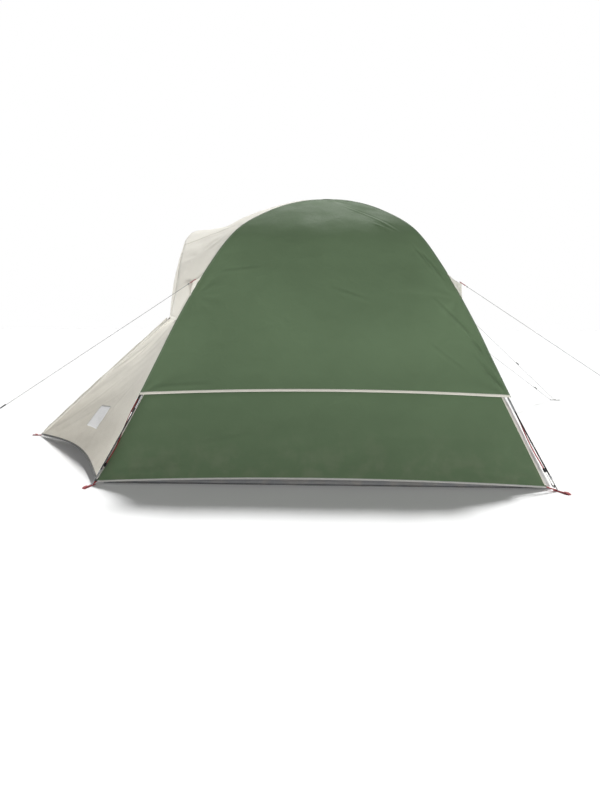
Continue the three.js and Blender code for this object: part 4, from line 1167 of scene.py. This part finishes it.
# The inner door is rolled up beside its doorway and held by two ties.
ROLL_R = 0.027
jamb_low, jamb_high = (on_inner_front(np.array(-DOOR_HALF - ROLL_R), np.array(z))
                       for z in (DOOR_SILL + 0.010, DOOR_SPRING + 0.120))
wall_out = unit([low_z - high_z, 0, low_half - high_half])
roll_line = lerp(jamb_low, jamb_high, np.linspace(0, 1, 90)[:, None]) + wall_out * (ROLL_R + 0.003)
turn_angle = np.linspace(0, 2 * math.pi, 41)[:-1]
spiral = ROLL_R * (0.90 + 0.10 * turn_angle / (2 * math.pi) + 0.035 * np.cos(3 * turn_angle + 1))
roll_t = np.linspace(0, 1, 90)
pinch = (1 - 0.22 * np.exp(-(((roll_t - 0.22) / 0.022) ** 2))
         - 0.22 * np.exp(-(((roll_t - 0.80) / 0.022) ** 2)))
roll_scale = pinch * (1 + 0.045 * ripple(roll_t, roll_t * 0, 0.12, 830))
roll = sweep("inner_door_rolled", roll_line,
             np.stack([np.cos(turn_angle), np.sin(turn_angle)], axis=1) * spiral[:, None],
             INNER, scale=roll_scale, node="inner_door_roll")
tie_way = unit(np.cross(roll_line[-1] - roll_line[0], wall_out))
for k, place in enumerate((0.22, 0.80)):
    centre = lerp(roll_line[0], roll_line[-1], place)
    loop = [centre + (tie_way * math.cos(t) + wall_out * math.sin(t)) * ROLL_R * 0.80
            for t in np.linspace(0, 2 * math.pi * 0.985, 40)]
    sweep(f"inner_door_tie_{k}", loop, band(0.012, 0.002), DARK_TAPE,
          side=unit(roll_line[-1] - roll_line[0]))

FLOOR_HALF = 1.440
spots = np.linspace(-FLOOR_HALF, FLOOR_HALF, 120)
gx, gy = np.meshgrid(spots, spots)
Panel("groundsheet_cloth", np.stack([gx, gy, np.full_like(gx, 0.0022)], axis=-1),
      lambda a, b, edges: ripple(a, b, 0.35, 840) * 0.0006, FLOOR_AND_SHADE_CLOTH, "groundsheet", held="laid",
      hangs_on=[])

# The groundsheet's bathtub walls are a real part. Their dark colour is also painted shade, which shows
# shadow-grey in the gap under each lower wall's arched hem.
TUB_HEIGHT = 0.130
tub_level = np.array([0.0, 1.0]) * TUB_HEIGHT / (INNER_HOOP[1][1] - INNER_HOOP[0][1]) / 6
for side_name, turn in (("near", 0), ("rear", math.pi / 2), ("far", math.pi), ("front", -math.pi / 2)):
    section = inner_section(np.linspace(*tub_level, 10))
    side = np.linspace(-1, 1, 90)[None]
    wall = np.stack(np.broadcast_arrays(side * (section[:, :1] + 0.004), -section[:, :1] - 0.006,
                                        section[:, 1:]), axis=-1)
    Panel(f"tub_wall_as_shade_{side_name}", turned(wall, turn), lambda a, b, edges: ripple(a, b, 0.12, 845) * 0.0010,
          FLOOR_AND_SHADE_CLOTH, hangs_on=[f"inner_tent_{side_name}"])

# The rear walls' corners are closed by pale gussets.
for side_name, flip in (("near", 1), ("far", -1)):
    levels = np.linspace(0, 1, 60)[:, None]
    outer = lerp(np.array([1.464, -1.440, 0.016]), np.array([1.183, -1.158, LOWER_TOP_Z]), levels)
    inside = lerp(np.array([1.434, -1.464, 0.016]), np.array([1.166, -1.175, LOWER_TOP_Z]), levels)
    strip = lerp(inside[:, None], outer[:, None], np.linspace(0, 1, 8)[None, :, None])
    strip = strip if flip > 0 else mirrored(strip)[:, ::-1]
    Panel(f"corner_gusset_{side_name}", strip, lambda a, b, edges: ripple(a, b, 0.10, 850) * 0.0008, INNER,
          hangs_on=[f"wall_{side_name}"])


# ---------------------------------------------------------------- corner hardware
def eyelet(name, centre, radius, tube):
    first = unit(np.cross(UP, [0.3, 1, 0.2]))
    second = np.cross(UP, first)
    turns = np.linspace(0, 2 * math.pi, 37)
    ring = [centre + (first * math.cos(t) + second * math.sin(t)) * radius for t in turns]
    rod(name, ring, tube, STEEL, sides=10)


def box_stitch(name, origin, along_way, across_way, length, width):
    """A sewn box with a cross in it, where two plies of webbing are joined."""
    corners = [(0, 0), (1, 0), (1, 1), (0, 1), (0, 0), (1, 1), (1, 0), (0, 1)]
    points = [origin + along_way * (u * length) + across_way * ((v - 0.5) * width) for u, v in corners]
    dense = np.vstack([lerp(a, b, np.linspace(0, 1, 15, endpoint=False)[:, None])
                       for a, b in zip(points, points[1:])] + [points[-1][None]])
    bob = (np.arange(len(dense)) % 3 == 0) * 0.0005
    rod(name, dense + UP * bob[:, None], 0.0006, RED, sides=6)


def ground_loop(node, centre, out_way, inward, outward, width=0.025, rise=0.011):
    """Webbing that lies on the ground from under the corner, and turns back on itself as a loop for a peg."""
    across = np.cross(UP, out_way)
    plan = [(-inward, 0.0016), (0.010, 0.0016), (outward * 0.6, 0.0017), (outward - 0.010, 0.0018),
            (outward - 0.002, 0.0030), (outward - 0.001, 0.0052), (outward - 0.010, 0.0072),
            (outward * 0.72, rise), (outward * 0.45, rise * 0.8), (0.030, 0.0050), (0.014, 0.0041),
            (-inward * 0.6, 0.0039)]
    points = np.array([centre + out_way * d + UP * z for d, z in plan])
    line = along(carried_spline(points, np.linspace(0, 1, 300)), 110)
    sweep(node + "_webbing", line, band(width, 0.0019), RED, side=across, node=node)
    box_stitch(node + "_stitches", centre + out_way * -0.012 + UP * 0.0052, out_way, across, 0.022,
               width * 0.62)


HOOK = [(-0.004, 0, 0), (0.010, 0, 0), (0.018, 0.003, 0), (0.0205, 0.009, 0), (0.016, 0.0145, 0),
        (0.009, 0.0150, 0), (0.004, 0.0125, 0)]


def hook(name, centre, run, out_way):
    """A moulded hook that snaps over a pole."""
    third = np.cross(run, out_way)
    points = np.array([centre + run * a + out_way * b + third * c for a, b, c in HOOK])
    line = carried_spline(points, np.linspace(0, 1, 60))
    rod(name, line, 0.0030, PLASTIC, sides=12, scale=soft_ends(60, 0.08, 0.6))


LOOP_TURN = {"porch": 3.4, "rear_": 1.45}  # turns the foot loops away from the porch's axis
WALL_CORNERS = {"porch": 1.480, "rear_": 1.432}  # where the bottom corners of the lower walls are
# Each strap runs beside its pole: the pole's half-width and height, then the strap's offsets from the pole.
STRAP_LEVELS = [(1.2335, 0.530), (1.2869, 0.420), (1.3304, 0.330),
                (1.3776, 0.240), (1.4375, 0.130), (1.4835, 0.034)]
STRAP_OFFSETS = {"porch": [(0.0118, -0.003), (0.0118, -0.003), (0.003, -0.015),
                           (-0.015, -0.009), (-0.018, -0.006), (-0.018, -0.006)],
                 "rear_": [(-0.002, -0.017), (-0.002, -0.017), (-0.010, -0.014),
                           (-0.018, -0.006), (-0.018, -0.006), (-0.018, -0.006)]}
for corner, (x, y) in CORNERS.items():
    out_way = unit([x, y, 0])
    side_way = unit([-y, x, 0])
    foot = np.array([x * FOOT, y * FOOT, 0.0])
    ground_loop(f"foot_loop_{corner}", foot, unit([x, y * LOOP_TURN[corner[:5]], 0]), 0.034, 0.090)
    eyelet(f"foot_eyelet_{corner}", foot + UP * 0.0062, 0.0068, 0.0014)
    strap_points = np.array([(x * (half + dx), y * (half + dy), z)
                             for (half, z), (dx, dy) in zip(STRAP_LEVELS, STRAP_OFFSETS[corner[:5]])])
    strap_line = carried_spline(strap_points, np.linspace(0, 1, 200))
    upper = along(strap_line[:160], 90)
    sweep(f"strap_webbing_{corner}", upper, band(0.014, 0.0016), RED, side=side_way,
          node=f"tension_strap_{corner}")
    run = unit(upper[-1] - upper[-2])
    buckle_at = upper[-1] + run * 0.010
    plate(f"strap_buckle_{corner}", rounded(0.026, 0.024, 0.004),
          [(-0.007, 0, 0.0030), (0.007, 0, 0.0030)], 0.0042, 0.0010,
          basis(run, side_way, np.cross(run, side_way), buckle_at), PLASTIC)
    tail = lerp(buckle_at + run * 0.010, strap_line[-1] - run * 0.006, np.linspace(0, 1, 30)[:, None])
    rod(f"strap_elastic_{corner}", tail, 0.0016, CORD, sides=10)
    hook(f"strap_hook_{corner}", strap_line[-1] - run * 0.010, run, out_way)
    wall_x = WALL_CORNERS[corner[:5]]
    corner_tie = [(x * wall_x, y * 1.4655, 0.020), (x * lerp(wall_x, FOOT, 0.5), y * 1.482, 0.013),
                  (x * (FOOT - 0.006), y * (FOOT - 0.004), 0.0075)]
    tie_line = carried_spline(np.array(corner_tie), np.linspace(0, 1, 30))
    sweep(f"corner_tie_{corner}", tie_line, band(0.014, 0.0018), RED, side=unit([y, x, 0.3 * y]))
ground_loop("porch_peg_loop", np.array([PORCH_PEG[0], 0, 0]), np.array([-1.0, 0, 0]), 0.006, 0.068)


def guy_anchor(name, tip, aim, x, y, half_height):
    """A beige gusset that stands out from the seam, and the doubled red tab sewn into its point."""
    across = unit(np.cross(UP, aim))
    levels = np.interp(tip[2] + np.linspace(-half_height, half_height, 21), LEVEL_Z, LEVELS)
    half, z = fly_section(levels)
    seam = np.stack([x * half, y * half, z], axis=1)
    point = tip - aim * 0.040
    share = np.linspace(0, 1, 15)[None, :, None]
    fringe = point + unit(np.cross(aim, across)) * np.linspace(0.007, -0.007, 21)[:, None]
    points = lerp(seam[:, None], fringe[:, None], share)
    hollow = np.sin(math.pi * share) * np.linspace(-1, 1, 21)[:, None, None] * half_height * 0.10
    gusset = Panel(f"guy_gusset_{name}", points - UP * hollow,
                   lambda a, b, edges: ripple(a, b, 0.06, 900) * 0.0012,
                   BEIGE, hangs_on=[f"seam_welt_{name.replace('_low', '')}"])
    lift = unit(np.cross(aim, across))
    plan = [(-0.050, -0.0010), (-0.034, -0.0011), (-0.012, -0.0016), (-0.003, -0.0013), (-0.0012, 0),
            (-0.003, 0.0013), (-0.012, 0.0016), (-0.034, 0.0011), (-0.050, 0.0010)]
    line = carried_spline(np.array([tip + aim * d + lift * s for d, s in plan]), np.linspace(0, 1, 90))
    gusset.trim.append(sweep(f"guy_tab_webbing_{name}", line, band(0.016, 0.0013), RED, side=across,
                             node=f"guy_tab_{name}"))


for guy_name, (guy_tab, guy_ground, _) in GUYS.items():
    tip = np.array(guy_tab)
    aim = unit(np.array(guy_ground) - tip)
    x, y = np.sign(tip[:2])
    guy_anchor(guy_name, tip, aim, x, y, 0.060 if guy_name.endswith("low") else 0.090)
    if guy_name == "porch_near":
        guy_anchor("porch_far", mirrored(tip), mirrored(aim), x, -y, 0.090)

# ---------------------------------------------------------------- slider
slider_at = door_peg + ridge_way * 0.110 + door_out * 0.0065
slider_across = np.cross(door_out, ridge_way)
slider_frame = basis(ridge_way, slider_across, door_out, slider_at)
plate("slider_body", [(-0.014, -0.0035), (0.002, -0.0042), (0.013, -0.0062), (0.014, 0), (0.013, 0.0062),
                      (0.002, 0.0042), (-0.014, 0.0035)], [], 0.0048, 0.0010, slider_frame, STEEL,
      "zip_slider", node="zip_slider")
bridge = [slider_at + ridge_way * d + door_out * z
          for d, z in ((-0.008, 0.002), (-0.005, 0.0038), (0.003, 0.0038), (0.007, 0.002))]
rod("slider_bridge", carried_spline(np.array(bridge), np.linspace(0, 1, 24)), 0.0010, STEEL, "zip_slider",
    sides=10)
pull_frame = basis(-ridge_way, slider_across, -door_out, slider_at - ridge_way * 0.018 + door_out * 0.0045)
plate("slider_pull", rounded(0.034, 0.008, 0.003), [(-0.012, 0, 0.0020), (0.012, 0, 0.0020)], 0.0018, 0.0005,
      pull_frame, STEEL, "zip_slider")

for panel in PANELS:
    panel.declare()

# ---------------------------------------------------------------- floor and light
ZENITH = 0.06
ground = bpy.data.meshes.new("floor")
ground.from_pydata([(-9, -8, 0), (9, -8, 0), (9, 12, 0), (-9, 12, 0)], [], [(0, 1, 2, 3)])
paper = Shader("paper", Roughness=0.9, Specular_IOR_Level=0.1)
speck = paper.mix(paper.ramp(paper.noise(0.6, 2.0), 0.3, 0.7), (0.965, 0.965, 0.965, 1),
                  (0.975, 0.975, 0.975, 1))
ground.materials.append(paper.finish(speck))
floor = bpy.data.objects.new("floor", ground)
bpy.context.scene.collection.objects.link(floor)

world = bpy.data.worlds.new("studio")
world.use_nodes = True
sky = world.node_tree
height = sky.nodes.new("ShaderNodeSeparateXYZ")
sky.links.new(sky.nodes.new("ShaderNodeTexCoord").outputs["Generated"], height.inputs[0])
fade = sky.nodes.new("ShaderNodeMapRange")
fade.interpolation_type = "SMOOTHSTEP"
sky.links.new(height.outputs[2], fade.inputs["Value"])
for socket, value in (("From Min", 0.32), ("From Max", 0.47), ("To Min", 1.0), ("To Max", ZENITH)):
    fade.inputs[socket].default_value = value
sky.links.new(fade.outputs[0], sky.nodes["Background"].inputs["Strength"])
sky.nodes["Background"].inputs["Color"].default_value = (1, 1, 1, 1)
bpy.context.scene.world = world


def aimed(name, data, place, aim):
    made = bpy.data.objects.new(name, data)
    made.location = place
    made.rotation_euler = (Vector(aim) - Vector(place)).to_track_quat("-Z", "Y").to_euler()
    bpy.context.scene.collection.objects.link(made)


key = bpy.data.lights.new("key", "SUN")
key.energy = 3.5
key.angle = math.radians(7)
aimed("key", key, (0.5, 4.2, 5.0), (0, 0, 0))
fill = bpy.data.lights.new("fill", "AREA")
fill.shape, fill.size, fill.size_y, fill.energy = "RECTANGLE", 4.5, 1.5, 380
aimed("fill", fill, (7.0, -8.0, 0.95), (0.2, -0.5, 1.1))
side = bpy.data.lights.new("side", "AREA")
side.shape, side.size, side.energy = "DISK", 2.4, 120
aimed("side", side, (-8.6, -4.1, 2.6), (-1.2, -0.7, 0.9))
